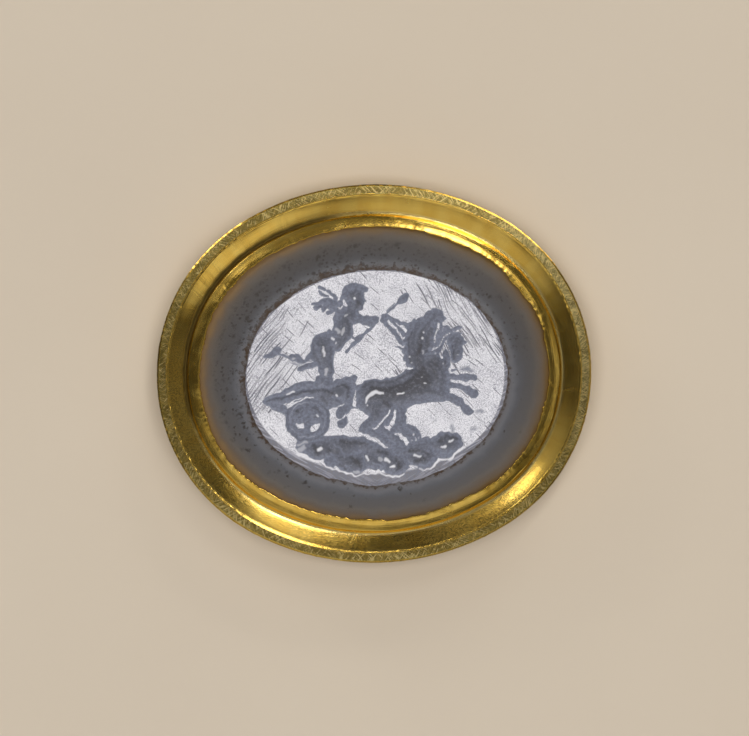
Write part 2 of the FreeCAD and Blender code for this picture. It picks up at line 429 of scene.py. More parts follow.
@dataclass(frozen=True)
class GoldFinish:
    """High-carat gold: burnished and bright, filed on the land with painted glints and painted shade on the
    strokes, a painted sheen on the land's right side, and painted shade in the valley.
    """

    name: str
    place: Place = Place.RING
    bright: Colour = (0.96, 0.66, 0.15, 1.0)
    warm: Colour = (0.90, 0.58, 0.11, 1.0)
    ridge: Colour = (0.70, 0.52, 0.155, 1.0)
    # Painted glints: the bright gold of some file strokes.
    stroke: Colour = (1.0, 0.82, 0.36, 1.0)
    # Painted shade: the dark gold of the file strokes and the scratch grain.
    groove_shade: Colour = (0.25, 0.18, 0.048, 1.0)
    # Painted sheen: the land's ridges turn to this brighter colour towards the side given below.
    sheen_ridge: Colour = (0.98, 0.80, 0.36, 1.0)
    rubbed: Colour = (0.98, 0.75, 0.27, 1.0)
    fresh_side: tuple[float, float, float] = (0.95, 0.30, 0.0)
    # Painted shade: the dark colour of the valley, also given to the real pits.
    valley_shade_and_pits: Colour = (0.24, 0.165, 0.045, 1.0)
    worn_sides: tuple[tuple[float, float, float], ...] = ((0.0264, -0.1057, 0.0), (-0.1003, -0.0426, 0.0))
    dirty_side: tuple[float, float, float] = (-0.094, 0.055, 0.0)

    def filing(self, sheet: Sheet, place: object, output: str, rows: tuple[tuple[float, ...], ...]) -> Socket:
        """Return strokes of the file, from the lean, pitch, cover and force of each row of them."""
        return sheet.most(
            sheet.math("MULTIPLY", EFFECTS.streaks(sheet, place, output, lean, pitch, 1.8, cover), force)
            for lean, pitch, cover, force in rows
        )

    def hatching(self, sheet: Sheet, place: object) -> Socket:
        """Return the stray scratches on the burnished gold."""
        rows = ((0.9, 7.0, 0.9, 0.22), (-0.8, 7.0, 0.9, 0.20))
        return sheet.most(EFFECTS.streaks(sheet, place, "Lines", *row) for row in rows)

    def valley_shading(self, sheet: Sheet, place: object, valley: object) -> Socket:
        """Return the mask of the painted shade in the valley, which lies thickest on one side."""
        side = sheet.ramp(sheet.vector("DOT_PRODUCT", place, self.dirty_side), 0.35, 0.9, 0.18, 1.0)
        ragged = sheet.ramp(sheet.noise(place, 1.4, 3.0), 0.3, 0.7, -0.10, 0.10)
        level = sheet.math("ADD", sheet.math("MULTIPLY", valley, side), ragged)
        return sheet.math("MULTIPLY", sheet.ramp(level, 0.08, 0.80), sheet.ramp(valley, 0.0, 0.15))

    def worn(self, sheet: Sheet, place: object) -> Socket:
        """Return the grain of small scratches on two sides of the hollow."""
        sides = [sheet.ramp(sheet.vector("DOT_PRODUCT", place, side), 0.74, 0.95) for side in self.worn_sides]
        fine = sheet.noise(sheet.vector("MULTIPLY", place, (12.0, 12.0, 40.0)), 1.0, 3.0, 0.8)
        zone = sheet.math("MULTIPLY", sheet.most(sides), sheet.ramp(sheet.parts(place)[2], 4.42, 4.30))
        return sheet.math("MULTIPLY", zone, sheet.ramp(fine, 0.42, 0.60))

    def material(self) -> bpy.types.Material:
        """Return the finish as a material."""
        material, sheet, shader = new_material(self.name)
        filed, valley = sheet.attribute("filed"), sheet.attribute("valley")
        on_ring = self.place is Place.RING
        place = sheet.attribute("ring_place", "Vector") if on_ring else sheet.millimetres()
        burnished = sheet.math("SUBTRACT", 1.0, filed)
        dark_rows = ((0.0, 17.0, 1.0, 0.6), (0.6, 15.0, 0.7, 0.85), (-0.5, 20.0, 0.6, 0.85))
        strokes = self.filing(sheet, place, "Lines", dark_rows)
        # Painted glints: some file strokes are painted bright, with no bump of their own.
        glint_rows = ((0.45, 14.0, 0.9, 1.0), (-0.35, 16.0, 0.8, 1.0))
        glint_strokes = sheet.ramp(self.filing(sheet, place, "Height", glint_rows), 0.53, 0.64)
        worn = sheet.math("MULTIPLY", self.worn(sheet, place), burnished)
        hatch = self.hatching(sheet, place)
        rubbed = EFFECTS.streaks(sheet, place, "Height", 0.0, 0.55, 9.0, 1.0)
        pits = EFFECTS.pits(sheet, place, 0.9, 0.07, 0.25)
        cloud = sheet.ramp(sheet.noise(place, 1.3, 3.0), 0.35, 0.65)
        tone = sheet.mix(cloud, self.bright, self.warm)
        # Painted sheen: the land's ridges are painted brighter towards its right side.
        side = sheet.ramp(sheet.vector("DOT_PRODUCT", place, self.fresh_side), 5.6, 8.8)
        crown = sheet.mix(glint_strokes, sheet.mix(side, self.ridge, self.sheen_ridge), self.stroke)
        # Painted shade darkens the scratch grain and the file strokes.
        tone = sheet.mix(sheet.math("MULTIPLY", worn, 0.62), tone, self.groove_shade)
        cuts = sheet.math("MULTIPLY", strokes, sheet.math("SUBTRACT", 1.0, glint_strokes))
        tone = sheet.mix(filed, tone, sheet.mix(cuts, crown, self.groove_shade))
        tone = sheet.mix(sheet.ramp(valley, 0.45, 0.80), tone, self.rubbed)
        # Painted shade: the valley is darkened, most on one side; the pits take the same colour.
        painted_valley_shade = self.valley_shading(sheet, place, valley)
        tone = sheet.mix(sheet.math("MAXIMUM", painted_valley_shade, pits), tone, self.valley_shade_and_pits)
        sheet.feed(shader.inputs["Base Color"], tone)
        shader.inputs["Metallic"].default_value = 1.0
        smooth = sheet.ramp(rubbed, 0.3, 0.7, 0.15, 0.23)
        smooth = sheet.math("ADD", smooth, sheet.math("MULTIPLY", hatch, 0.08))
        smooth = sheet.math("ADD", smooth, sheet.math("MULTIPLY", painted_valley_shade, 0.35))
        matt = sheet.ramp(strokes, 0.0, 1.0, 0.56, 0.40)
        sheet.feed(shader.inputs["Roughness"], sheet.blend(filed, smooth, matt))
        layers = [
            (sheet.math("MULTIPLY", strokes, filed), -0.0042),
            (sheet.math("MULTIPLY", hatch, burnished), -0.0016),
            (sheet.math("MULTIPLY", rubbed, burnished), 0.0060),
            (worn, -0.0014),
            (pits, -0.004),
        ]
        sheet.feed(shader.inputs["Normal"], bumped(sheet, layers))
        return material


@dataclass(frozen=True)
class SolderFinish:
    """The duller alloy of the seams."""

    name: str = "solder"
    tone: Colour = (0.42, 0.30, 0.10, 1.0)
    dark: Colour = (0.14, 0.10, 0.03, 1.0)

    def material(self) -> bpy.types.Material:
        """Return the finish as a material."""
        material, sheet, shader = new_material(self.name)
        place = sheet.attribute("ring_place", "Vector")
        cloud = sheet.noise(place, 4.0, 4.0, 0.6)
        sheet.feed(shader.inputs["Base Color"], sheet.mix(sheet.ramp(cloud, 0.4, 0.6), self.tone, self.dark))
        shader.inputs["Metallic"].default_value = 1.0
        sheet.feed(shader.inputs["Roughness"], sheet.ramp(cloud, 0.3, 0.7, 0.35, 0.6))
        sheet.feed(shader.inputs["Normal"], bumped(sheet, [(cloud, 0.02)]))
        return material


@dataclass(frozen=True)
class BeddingFinish:
    """The dark compound under the stone."""

    name: str = "bedding"
    tone: Colour = (0.30, 0.20, 0.10, 1.0)
    dark: Colour = (0.16, 0.10, 0.05, 1.0)

    def material(self) -> bpy.types.Material:
        """Return the finish as a material."""
        material, sheet, shader = new_material(self.name)
        grain = sheet.noise(sheet.millimetres(), 6.0, 5.0, 0.7)
        sheet.feed(shader.inputs["Base Color"], sheet.mix(grain, self.tone, self.dark))
        shader.inputs["Roughness"].default_value = 0.8
        sheet.feed(shader.inputs["Normal"], bumped(sheet, [(grain, 0.05)]))
        return material


@dataclass(frozen=True)
class ChalcedonyFinish:
    """Grey-blue chalcedony: polished table painted pale as a reflection of the soft box, darker cuts through
    it, matt slopes with specks.
    """

    name: str = "chalcedony"
    # Painted reflection: the table's pale colour stands in for the soft box mirrored in the polished face.
    table: Colour = shade(241, 241, 246)
    clouded: Colour = shade(166, 166, 177)
    # The grey the table turns to where its painted reflection falls off at the rim.
    rim: Colour = shade(128, 126, 131)
    worn: Colour = shade(112, 112, 122)
    shallow: Colour = shade(125, 130, 146)
    deep: Colour = shade(80, 80, 86)
    milky: Colour = shade(150, 152, 164)
    # Painted highlight: the near-white of the level places in the cuts.
    flat: Colour = shade(230, 230, 235)
    edge_line: Colour = shade(68, 53, 41)
    speck: Colour = shade(54, 48, 44)
    speckled_side: tuple[float, float, float] = (-0.55, 0.83, 0.0)
    # Painted light: the warm glow that the gold throws into the stone near its lip.
    painted_gold_glow: Colour = shade(134, 108, 74)
    # The first brown-orange stops next to the gold carry the same painted glow.
    slope: tuple[tuple[float, tuple[int, int, int]], ...] = (
        (0.00, (108, 83, 47)),
        (0.06, (106, 88, 64)),
        (0.14, (103, 90, 77)),
        (0.28, (104, 98, 92)),
        (0.40, (96, 93, 92)),
        (0.60, (93, 92, 94)),
        (0.72, (96, 97, 102)),
        (0.84, (110, 111, 116)),
        (0.93, (109, 108, 111)),
        (1.00, (96, 92, 92)),
    )

    def slopes(self, sheet: Sheet, place: object, share: object) -> tuple[Socket, Socket]:
        """Return the colour of the slopes and the mask of their specks.

        Args:
            sheet: The material's sheet.
            place: Places in millimetres.
            share: Share of the way from the gold to the table.

        Returns:
            The colour and the mask.
        """
        drift = sheet.ramp(sheet.noise(place, 1.1, 3.0), 0.3, 0.7, -0.04, 0.04)
        level = sheet.math("ADD", share, drift)
        stops = [(stop, shade(*colour)) for stop, colour in self.slope]
        colour = sheet.bands(level, stops)
        across, up, _ = sheet.parts(place)
        # Painted light: the gold's warm glow, stronger towards the left side.
        warm = sheet.math("MULTIPLY", sheet.ramp(level, 0.20, 0.0), sheet.ramp(across, 8.0, -9.0, 0.0, 0.75))
        colour = sheet.mix(warm, colour, self.painted_gold_glow)
        # Painted shade: the slopes are painted darker towards the top.
        top_shade = sheet.math("MULTIPLY", sheet.ramp(up, -7.0, 6.0, 0.0, 0.48), sheet.ramp(share, 0.08, 0.35))
        top_shade = sheet.math("MULTIPLY", top_shade, sheet.ramp(share, 0.70, 0.88, 1.0, 0.5))
        colour = sheet.mix(top_shade, colour, self.speck)
        leaning = sheet.vector("DOT_PRODUCT", place, self.speckled_side)
        crowd = sheet.ramp(leaning, -7.0, 8.0, 0.10, 0.52)
        rows = ((0.44, 0.50), (0.18, 0.60), (0.28, 0.54))
        specks = sheet.most(EFFECTS.pits(sheet, place, *row, crowd) for row in rows)
        specks = sheet.math("MULTIPLY", sheet.ramp(specks, 0.05, 0.75), sheet.ramp(share, 0.16, 0.5))
        crowded = sheet.ramp(sheet.noise(place, 1.5, 2.0), 0.36, 0.60, 0.15, 0.85)
        colour = sheet.mix(sheet.math("MULTIPLY", specks, crowded), colour, self.speck)
        reach = sheet.ramp(leaning, -5.0, 8.0, 0.945, 0.895)
        ragged = sheet.ramp(sheet.noise(place, 3.4, 3.0, 0.75), 0.3, 0.7, -0.085, 0.085)
        stain = sheet.math("SUBTRACT", sheet.math("ADD", share, ragged), reach)
        force = sheet.ramp(sheet.noise(place, 3.6, 3.0, 0.7), 0.34, 0.62, 0.35, 0.98)
        line = sheet.math("MULTIPLY", sheet.ramp(stain, -0.025, 0.035), force)
        return sheet.mix(line, colour, self.edge_line), specks

    def scratched(self, sheet: Sheet, place: object) -> Socket:
        """Return the mask of the table's scratches: many at its left and upper right, few elsewhere."""
        parts = sheet.parts(place)
        wavy = sheet.ramp(sheet.noise(place, 0.5, 2.0), 0.3, 0.7, -0.8, 0.8)
        across = sheet.math("ADD", parts[0], wavy)
        up = sheet.math("ADD", parts[1], wavy)
        left = sheet.math("MULTIPLY", sheet.ramp(across, -3.4, -5.4), sheet.ramp(up, -3.2, -1.4))
        right = sheet.math("MULTIPLY", sheet.ramp(across, 1.6, 3.6), sheet.ramp(up, -0.4, 1.6))
        zone = sheet.math("MAXIMUM", left, right)
        angle = sheet.ramp(parts[0], -0.4, 0.4, -0.86, 1.10)
        rows = (
            (angle, 3.0, 0.15, 0.27, sheet.math("MULTIPLY", zone, 0.92)),
            (sheet.math("ADD", angle, -0.09), 2.1, 0.20, 0.24, sheet.math("MULTIPLY", zone, 0.88)),
            (0.8, 0.8, 0.21, 0.14, 0.22),
        )
        lines = sheet.most(EFFECTS.scratches(sheet, place, *row) for row in rows)
        haze = sheet.math("MULTIPLY", sheet.math("MAXIMUM", left, sheet.math("MULTIPLY", right, 0.6)), 0.09)
        return sheet.math("MAXIMUM", lines, haze)

    def rim_tone(self, sheet: Sheet, place: object, mottle: object) -> Socket:
        """Return the colour of the table's rim, where the painted reflection fades to grey, with pale lines
        along its edge.
        """
        parts = sheet.parts(place)
        across = sheet.math("ABSOLUTE", parts[0])
        mirrored = sheet.add("CombineXYZ", {0: across, 1: parts[1]}).outputs[0]
        drawn_out = sheet.vector("MULTIPLY", sheet.turned(mirrored, -0.5), (0.8, 9.0, 1.0))
        total = sheet.ramp(sheet.noise(drawn_out, 1.0, 2.0), 0.48, 0.60)
        side = sheet.ramp(across, 1.5, 4.5, 0.35, 1.0)
        dull = sheet.mix(mottle, self.rim, self.shallow)
        return sheet.mix(sheet.math("MULTIPLY", total, side), dull, self.clouded)

    def material(self) -> bpy.types.Material:
        """Return the finish as a material."""
        material, sheet, shader = new_material(self.name)
        place = sheet.millimetres()
        marks = ("slope_share", "cut_depth", "polish", "glint_spot", "table_rim")
        share, depth, polish, glint_spot, rim = (sheet.attribute(name) for name in marks)
        slope, specks = self.slopes(sheet, place, share)
        plain = sheet.ramp(depth, 0.03, 0.01)
        scratches = sheet.math("MULTIPLY", self.scratched(sheet, place), plain)
        patchy = sheet.ramp(sheet.noise(place, 0.9, 3.0), 0.3, 0.7, -0.03, 0.03)
        mottle = sheet.ramp(sheet.math("ADD", sheet.noise(place, 18.0, 3.0, 0.85), patchy), 0.46, 0.60)
        # Painted reflection: the pale table colour, mottled.
        table = sheet.mix(mottle, self.table, self.clouded)
        # The painted reflection fades to grey over the table's rim, widest at the foot.
        table = sheet.mix(sheet.ramp(rim, 0.02, 0.35), table, self.rim_tone(sheet, place, mottle))
        rows = ((0.16, 0.30, 0.34), (0.40, 0.20, 0.42))
        pocks = sheet.most(EFFECTS.pits(sheet, place, *row) for row in rows)
        table = sheet.mix(sheet.math("MULTIPLY", pocks, 0.75), table, self.worn)
        table = sheet.mix(scratches, table, self.worn)
        cut = sheet.mix(sheet.ramp(depth, 0.06, 0.95), self.shallow, self.deep)
        grain = sheet.noise(place, 7.0, 4.0, 0.75)
        cut = sheet.mix(sheet.ramp(grain, 0.40, 0.54, 0.32, 0.0), cut, self.deep)
        cut = sheet.mix(sheet.ramp(grain, 0.50, 0.66, 0.0, 0.34), cut, self.milky)
        cut = sheet.mix(sheet.ramp(depth, 0.0, 0.06), table, cut)
        # Painted highlight on the level places in the cuts.
        cut = sheet.mix(glint_spot, cut, self.flat)
        sheet.feed(shader.inputs["Base Color"], sheet.mix(polish, slope, cut))
        frost = sheet.noise(place, 14.0, 3.0, 0.6)
        rough_cut = sheet.ramp(depth, 0.01, 0.08, 0.14, 0.45)
        rough_cut = sheet.blend(glint_spot, rough_cut, 0.15)
        matt = sheet.ramp(frost, 0.3, 0.7, 0.42, 0.6)
        sheet.feed(shader.inputs["Roughness"], sheet.blend(polish, matt, rough_cut))
        shader.inputs["IOR"].default_value = 1.54
        ground = sheet.math("MULTIPLY", frost, sheet.math("SUBTRACT", 1.0, polish))
        layers = [
            (scratches, -0.004),
            (sheet.math("MULTIPLY", pocks, polish), -0.003),
            (ground, 0.012),
            (sheet.math("MULTIPLY", grain, sheet.ramp(depth, 0.02, 0.08)), 0.008),
            (specks, -0.012),
        ]
        sheet.feed(shader.inputs["Normal"], bumped(sheet, layers))
        return material


@dataclass(frozen=True)
class Oval:
    """An oval of four arcs, the end arcs a little larger than an ellipse would have them."""

    half_length: float
    half_width: float
    x: float = 0.0
    y: float = 0.0
    bend_share: float = 1.085

    @property
    def end_radius(self) -> float:
        """The radius of the two end arcs."""
        return self.bend_share * self.half_width**2 / self.half_length

    @property
    def end_offset(self) -> float:
        """How far the centres of the end arcs lie from the middle."""
        return self.half_length - self.end_radius

    @property
    def side_radius(self) -> float:
        """The radius of the two side arcs."""
        spare = self.end_offset**2 + self.half_width**2 - self.end_radius**2
        return spare / (2 * (self.half_width - self.end_radius))

    @property
    def side_offset(self) -> float:
        """How far the centres of the side arcs lie from the middle."""
        return self.side_radius - self.half_width

    def at(self, theta: np.ndarray, inset: np.ndarray) -> tuple[np.ndarray, np.ndarray]:
        """Return the points where the oval faces a direction.

        Args:
            theta: Directions in radians.
            inset: How far inside the oval.

        Returns:
            The points' x and y.
        """
        cosine, sine = np.cos(theta), np.sin(theta)
        on_end = np.abs(sine) * self.end_offset <= np.abs(cosine) * self.side_offset
        reach = np.where(on_end, self.end_radius, self.side_radius) - inset
        x = self.x + np.where(on_end, np.sign(cosine) * self.end_offset, 0) + reach * cosine
        y = self.y - np.where(on_end, 0, np.sign(sine) * self.side_offset) + reach * sine
        return x, y

    def inset_of(self, x: np.ndarray, y: np.ndarray) -> np.ndarray:
        """Return how far inside the oval points lie."""
        across, up = np.abs(x - self.x), np.abs(y - self.y)
        on_end = up * self.end_offset <= (across - self.end_offset) * self.side_offset
        to_end = self.end_radius - np.hypot(across - self.end_offset, up)
        to_side = self.side_radius - np.hypot(across, up + self.side_offset)
        return np.where(on_end, to_end, to_side)

    def towards(self, x: np.ndarray, y: np.ndarray) -> tuple[np.ndarray, np.ndarray]:
        """Return the points of the oval that lie in given directions from its middle.

        Args:
            x: Directions, along.
            y: Directions, across.

        Returns:
            The points' x and y.
        """
        low = np.zeros_like(x)
        high = np.full_like(x, self.half_length * 1.2)
        length = np.hypot(x, y)
        along, up = x / length, y / length
        for _ in range(40):
            middle = (low + high) / 2
            inside = self.inset_of(self.x + along * middle, self.y + up * middle) > 0
            low = np.where(inside, middle, low)
            high = np.where(inside, high, middle)
        return self.x + along * low, self.y + up * low


def new_piece(
    name: str,
    points: np.ndarray,
    faces: list[tuple[int, ...]],
    material: bpy.types.Material,
    slot: Slot,
    nodes: tuple[str, ...],
    values: dict[str, np.ndarray] | None = None,
    sharp: float = 35.0,
) -> bpy.types.Object:
    """Make a mesh piece that rides on the setting and stands for its nodes.

    Args:
        name: The piece's name.
        points: Its points in millimetres.
        faces: Its faces.
        material: Its finish.
        slot: The record's slot of that finish; not used.
        nodes: The nodes it stands for.
        values: Values or vectors of the points, by name.
        sharp: The least angle in degrees between faces that share a sharp edge.

    Returns:
        The piece.
    """
    mesh = bpy.data.meshes.new(name)
    mesh.from_pydata((points * MM).tolist(), [], faces)
    for title, data in (values or {}).items():
        is_vector = data.ndim == 2
        attribute = mesh.attributes.new(title, "FLOAT_VECTOR" if is_vector else "FLOAT", "POINT")
        attribute.data.foreach_set("vector" if is_vector else "value", data.astype(np.float32).ravel())
    mesh.polygons.foreach_set("use_smooth", [True] * len(mesh.polygons))
    mesh.set_sharp_from_angle(angle=math.radians(sharp))
    mesh.materials.append(material)
    mesh.validate()
    piece = bpy.data.objects.new(name, mesh)
    bpy.context.scene.collection.objects.link(piece)
    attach(piece, BODY)
    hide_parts(*nodes)
    LOG.info("%s: %d faces for %s", name, len(faces), ", ".join(nodes))
    return piece


class Wander:
    """A smooth random line round a ring, the same each time for one seed."""

    def __init__(self, seed: int, fewest: int, most: int, size: float) -> None:
        """Draw the waves.

        Args:
            seed: The seed of the draw.
            fewest: Waves round the ring of the broadest wave.
            most: Waves round the ring of the finest.
            size: The line's usual size.
        """
        draw = np.random.default_rng(seed)
        self.counts = np.unique(np.geomspace(fewest, most, 28).astype(int))
        weights = draw.uniform(0.3, 1.0, len(self.counts))
        self.weights = weights * size * math.sqrt(2) / np.linalg.norm(weights)
        self.phases = draw.uniform(0, 2 * math.pi, len(self.counts))

    def __call__(self, theta: np.ndarray, shift: float = 0.0) -> np.ndarray:
        """Return the line's height at directions, drifting with a shift."""
        total = np.zeros_like(theta)
        for count, weight, phase in zip(self.counts, self.weights, self.phases):
            total += weight * np.cos(count * theta + phase * (1 + 0.3 * shift))
        return total


@dataclass(frozen=True)
class Setting:
    """The sizes that the gold pieces share, with what the frame says of them."""

    plan: Oval
    floor_height: float
    wall_foot: float
    crest_height: float
    lip_height: float
    wall_inset: float = 0.36
    seam: float = 0.05
    land_width: float = 0.56
    land_rise: float = 0.21
    edge_round: float = 0.05
    crest_round: float = 0.10
    rim_round: float = 0.09
    rim_tilt: float = math.radians(41.5)
    hollow_width: float = 0.90
    hollow_depth: float = 0.62
    hollow_sag: float = 0.025
    joint_depth: float = 0.24
    sheet: float = 0.22
    collar: float = 0.35
    lip_reach: float = 0.74
    lip_edge: float = 0.09

    @classmethod
    def from_frame(cls) -> Setting:
        """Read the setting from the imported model."""
        wall_low, wall_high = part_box("side_wall")
        _, plate_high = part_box("back_plate")
        _, frame_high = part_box("cavetto_frame")
        _, collar_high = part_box("bezel_collar")
        plan = Oval(wall_high.x / MM, wall_high.y / MM)
        heights = (plate_high.z, wall_low.z, frame_high.z, collar_high.z)
        return cls(plan, *(height / MM for height in heights))

    @property
    def valley_inset(self) -> float:
        """The inset of the bottom of the hollow."""
        return self.land_width + self.hollow_width

    @property
    def valley_height(self) -> float:
        """The height of the bottom of the hollow."""
        return self.crest_height - self.hollow_depth

    def land_height(self, inset: float) -> float:
        """Return the height of the filed land at an inset."""
        return self.crest_height - self.land_rise * (1 - inset / self.land_width)


def curve(begin: Point, end: Point, sag: float, count: int) -> list[Point]:
    """Return points on a parabola between two points of a section, without the last.

    Args:
        begin: The first point.
        end: The last point.
        sag: How far the middle lies to the left of the way there.
        count: How many points.

    Returns:
        The points.
    """
    run, rise = end[0] - begin[0], end[1] - begin[1]
    length = math.hypot(run, rise)
    points = []
    for share in np.linspace(0, 1, count, endpoint=False):
        bulge = 4 * sag * share * (1 - share) / length
        points.append((begin[0] + run * share - rise * bulge, begin[1] + rise * share + run * bulge))
    return points


class TurnedRing:
    """A ring whose section is turned about the setting's outline."""

    turns = 900

    def __init__(self, setting: Setting) -> None:
        """Take the setting's sizes.

        Args:
            setting: The shared sizes.
        """
        self.setting = setting

    def section(self) -> list[Point]:
        """Return the section's (inset, height) points, in order round it."""
        raise NotImplementedError

    def worked(self, theta: np.ndarray, inset: float, height: float) -> tuple[np.ndarray, np.ndarray]:
        """Return a section point as the tools left it, all round the ring.

        Args:
            theta: Directions round the ring.
            inset: The point's inset.
            height: The point's height.

        Returns:
            Its insets and heights.
        """
        return np.full_like(theta, inset), np.full_like(theta, height)

    def filed_share(self, inset: float, height: float) -> float:
        """Return how far a section point shows the file, from 0 to 1."""
        size = self.setting
        rise = height - size.land_height(0) + 2 * size.edge_round
        on_top = np.clip(rise / size.edge_round, 0, 1)
        within = min(inset - 0.9 * size.rim_round, size.land_width - 0.8 * size.crest_round - inset)
        return float(on_top * np.clip(within / 0.03, 0, 1))

    def valley_share(self, inset: float, height: float, reach: float = 0.30) -> float:
        """Return how near a section point lies to the bottom of the hollow, from 0 to 1."""
        away = inset - self.setting.valley_inset
        return max(0.0, 1 - math.hypot(away, height - self.setting.valley_height) / reach)

    def build(self, name: str, material: bpy.types.Material, slot: Slot, *nodes: str) -> bpy.types.Object:
        """Make the ring.

        Args:
            name: The piece's name.
            material: Its finish.
            slot: The record's slot.
            nodes: The nodes it stands for.

        Returns:
            The piece.
        """
        theta = np.linspace(0, 2 * math.pi, self.turns, endpoint=False)
        section = self.section()
        points, places, shares, valleys = [], [], [], []
        radius = self.setting.plan.end_radius
        for inset, height in section:
            insets, heights = self.worked(theta, inset, height)
            x, y = self.setting.plan.at(theta, insets)
            points.append(np.stack([x, y, heights], 1))
            across = np.full_like(theta, inset + height)
            places.append(np.stack([radius * np.cos(theta), radius * np.sin(theta), across], 1))
            shares.append(np.full_like(theta, self.filed_share(inset, height)))
            valleys.append(np.full_like(theta, self.valley_share(inset, height)))
        count, rows = self.turns, len(section)
        faces = []
        for row in range(rows):
            below, above = row * count, (row + 1) % rows * count
            for turn in range(count):
                onward = (turn + 1) % count
                faces.append((below + turn, below + onward, above + onward, above + turn))
        values = {
            "ring_place": np.concatenate(places),
            "filed": np.concatenate(shares),
            "valley": np.concatenate(valleys),
        }
        return new_piece(name, np.concatenate(points), faces, material, slot, nodes, values)


LAND_WANDER = (Wander(11, 3, 60, 0.004), Wander(12, 40, 220, 0.004))
RIM_WANDER = Wander(13, 4, 200, 0.006)


def turned_from(theta: np.ndarray, middle: float) -> np.ndarray:
    """Return how far directions are turned from a middle one, from minus pi to pi."""
    return (theta - middle + math.pi) % (2 * math.pi) - math.pi


def filed(setting: Setting, theta: np.ndarray, inset: float, height: float) -> tuple[np.ndarray, np.ndarray]:
    """Return a point of the land as the file left it, the same for each piece that it crosses.

    Args:
        setting: The shared sizes.
        theta: Directions round the ring.
        inset: The point's inset.
        height: The point's height.

    Returns:
        Its insets and heights.
    """
    broad, fine = LAND_WANDER
    on_top = float(np.clip((height - setting.land_height(0) + 0.2) / 0.15, 0, 1))
    on_top *= float(np.clip(1 - (inset - setting.land_width) / setting.edge_round, 0, 1))
    heights = height + on_top * (broad(theta, inset) + fine(theta, 2 * inset))
    return np.full_like(theta, inset), heights


class SideWall(TurnedRing):
    """The outer wall of the box, its top edge filed to the outer part of the land and worn on two sides."""

    worn: tuple[Point, ...] = ((57, 24), (131, 9))

    def section(self) -> list[Point]:
        """Return the wall's section."""
        size = self.setting
        bevel = size.rim_round
        inner = size.wall_inset
        edge = size.land_height(bevel) - bevel * math.tan(size.rim_tilt)
        points = curve((inner, size.wall_foot), (0, size.wall_foot), 0, 3)
        points += curve((0, size.wall_foot), (0, edge), 0.012, 14)
        points += curve((0, edge), (bevel, size.land_height(bevel)), 0.03 * bevel, 6)
        points += curve((bevel, size.land_height(bevel)), (inner, size.land_height(inner)), 0, 8)
        return points + curve((inner, size.land_height(inner)), (inner, size.wall_foot), 0, 3)

    def worked(self, theta: np.ndarray, inset: float, height: float) -> tuple[np.ndarray, np.ndarray]:
        """Return a point with the marks of the file and of handling."""
        size = self.setting
        insets, heights = filed(size, theta, inset, height)
        if inset < size.wall_inset / 2:
            insets = insets + 0.6 * RIM_WANDER(theta, height)
        if inset < size.rim_round and height > size.land_height(0) - size.rim_round:
            kept = np.zeros_like(theta)
            for middle, reach in self.worn:
                away = np.abs(turned_from(theta, math.radians(middle)))
                kept = np.maximum(kept, np.clip(1.6 - away / math.radians(reach), 0, 1))
            heights = heights + (size.land_height(inset) - height) * (1 - kept)
        return insets, heights


class RimSeam(TurnedRing):
    """The seam between wall and frame, a line in the land."""

    def section(self) -> list[Point]:
        """Return the seam's section, filed level with the land."""
        size = self.setting
        outer, inner = size.wall_inset, size.wall_inset + size.seam
        foot = size.crest_height - size.joint_depth
        points = curve((inner, foot), (outer, foot), 0, 2)
        points += curve((outer, foot), (outer, size.land_height(outer)), 0, 2)
        points += curve((outer, size.land_height(outer)), (inner, size.land_height(inner)), 0, 3)
        return points + [(inner, size.land_height(inner))]

    def worked(self, theta: np.ndarray, inset: float, height: float) -> tuple[np.ndarray, np.ndarray]:
        """Return a point with the marks of the file."""
        return filed(self.setting, theta, inset, height)


class HollowFrame(TurnedRing):
    """The hollow-curved sheet between the land and the collar, its crest worn flat on one side."""

    worn_middle: float = math.radians(245)
    worn_reach: float = math.radians(34)
    worn_depth: float = 0.068
    worn_tilt: float = math.radians(13.5)
    dents = (Wander(21, 5, 24, 0.004), Wander(22, 20, 60, 0.0003))

    def section(self) -> list[Point]:
        """Return the frame's section."""
        size = self.setting
        bend = size.crest_round
        start = size.wall_inset + size.seam
        inner = size.valley_inset - size.seam
        foot = size.crest_height - size.joint_depth
        flat_end = (size.land_width - bend, size.land_height(size.land_width - bend))
        fall = (size.land_width + 0.43 * bend, size.crest_height - 0.6 * bend)
        valley = (inner, size.valley_height)
        points = curve((start, size.land_height(start)), flat_end, 0, 3)
        points += curve(flat_end, fall, 0.11 * bend, 12)
        points += curve(fall, valley, -size.hollow_sag, 26)
        points += curve(valley, (inner, size.valley_height - size.sheet), 0, 2)
        points += curve((inner, size.valley_height - size.sheet), (start, foot), size.hollow_sag, 8)
        return points + [(start, foot)]

    def worked(self, theta: np.ndarray, inset: float, height: float) -> tuple[np.ndarray, np.ndarray]:
        """Return a point with dents and the marks of the file."""
        size = self.setting
        insets, heights = filed(size, theta, inset, height)
        share = (inset - size.land_width) / size.hollow_width
        on_hollow = 4 * share * (1 - share) if 0 < share < 1 else 0.0
        broad, fine = self.dents
        heights = heights + on_hollow * (broad(theta, inset) + fine(theta, inset))
        past = inset - size.land_width
        if abs(past) < 3 * self.worn_depth and height > size.valley_height:
            away = turned_from(theta, self.worn_middle) / self.worn_reach
            depth = self.worn_depth * (1 - 2 * np.minimum(away**2, 1))
            heights = np.minimum(heights, size.crest_height - depth - past * math.tan(self.worn_tilt))
        if past <= size.edge_round:
            insets = insets + 0.5 * RIM_WANDER(theta, 1.0)
        return insets, heights


class ValleySeam(TurnedRing):
    """The seam at the bottom of the hollow."""

    def section(self) -> list[Point]:
        """Return the seam's section."""
        size = self.setting
        outer, inner = size.valley_inset - size.seam, size.valley_inset
        top, foot = size.valley_height, size.valley_height - size.sheet
        points = curve((inner, foot), (outer, foot), 0, 2) + [(outer, foot), (outer, top)]
        return points[1:] + curve((outer, top), (inner, top), -0.008, 4)[1:] + [(inner, top)]


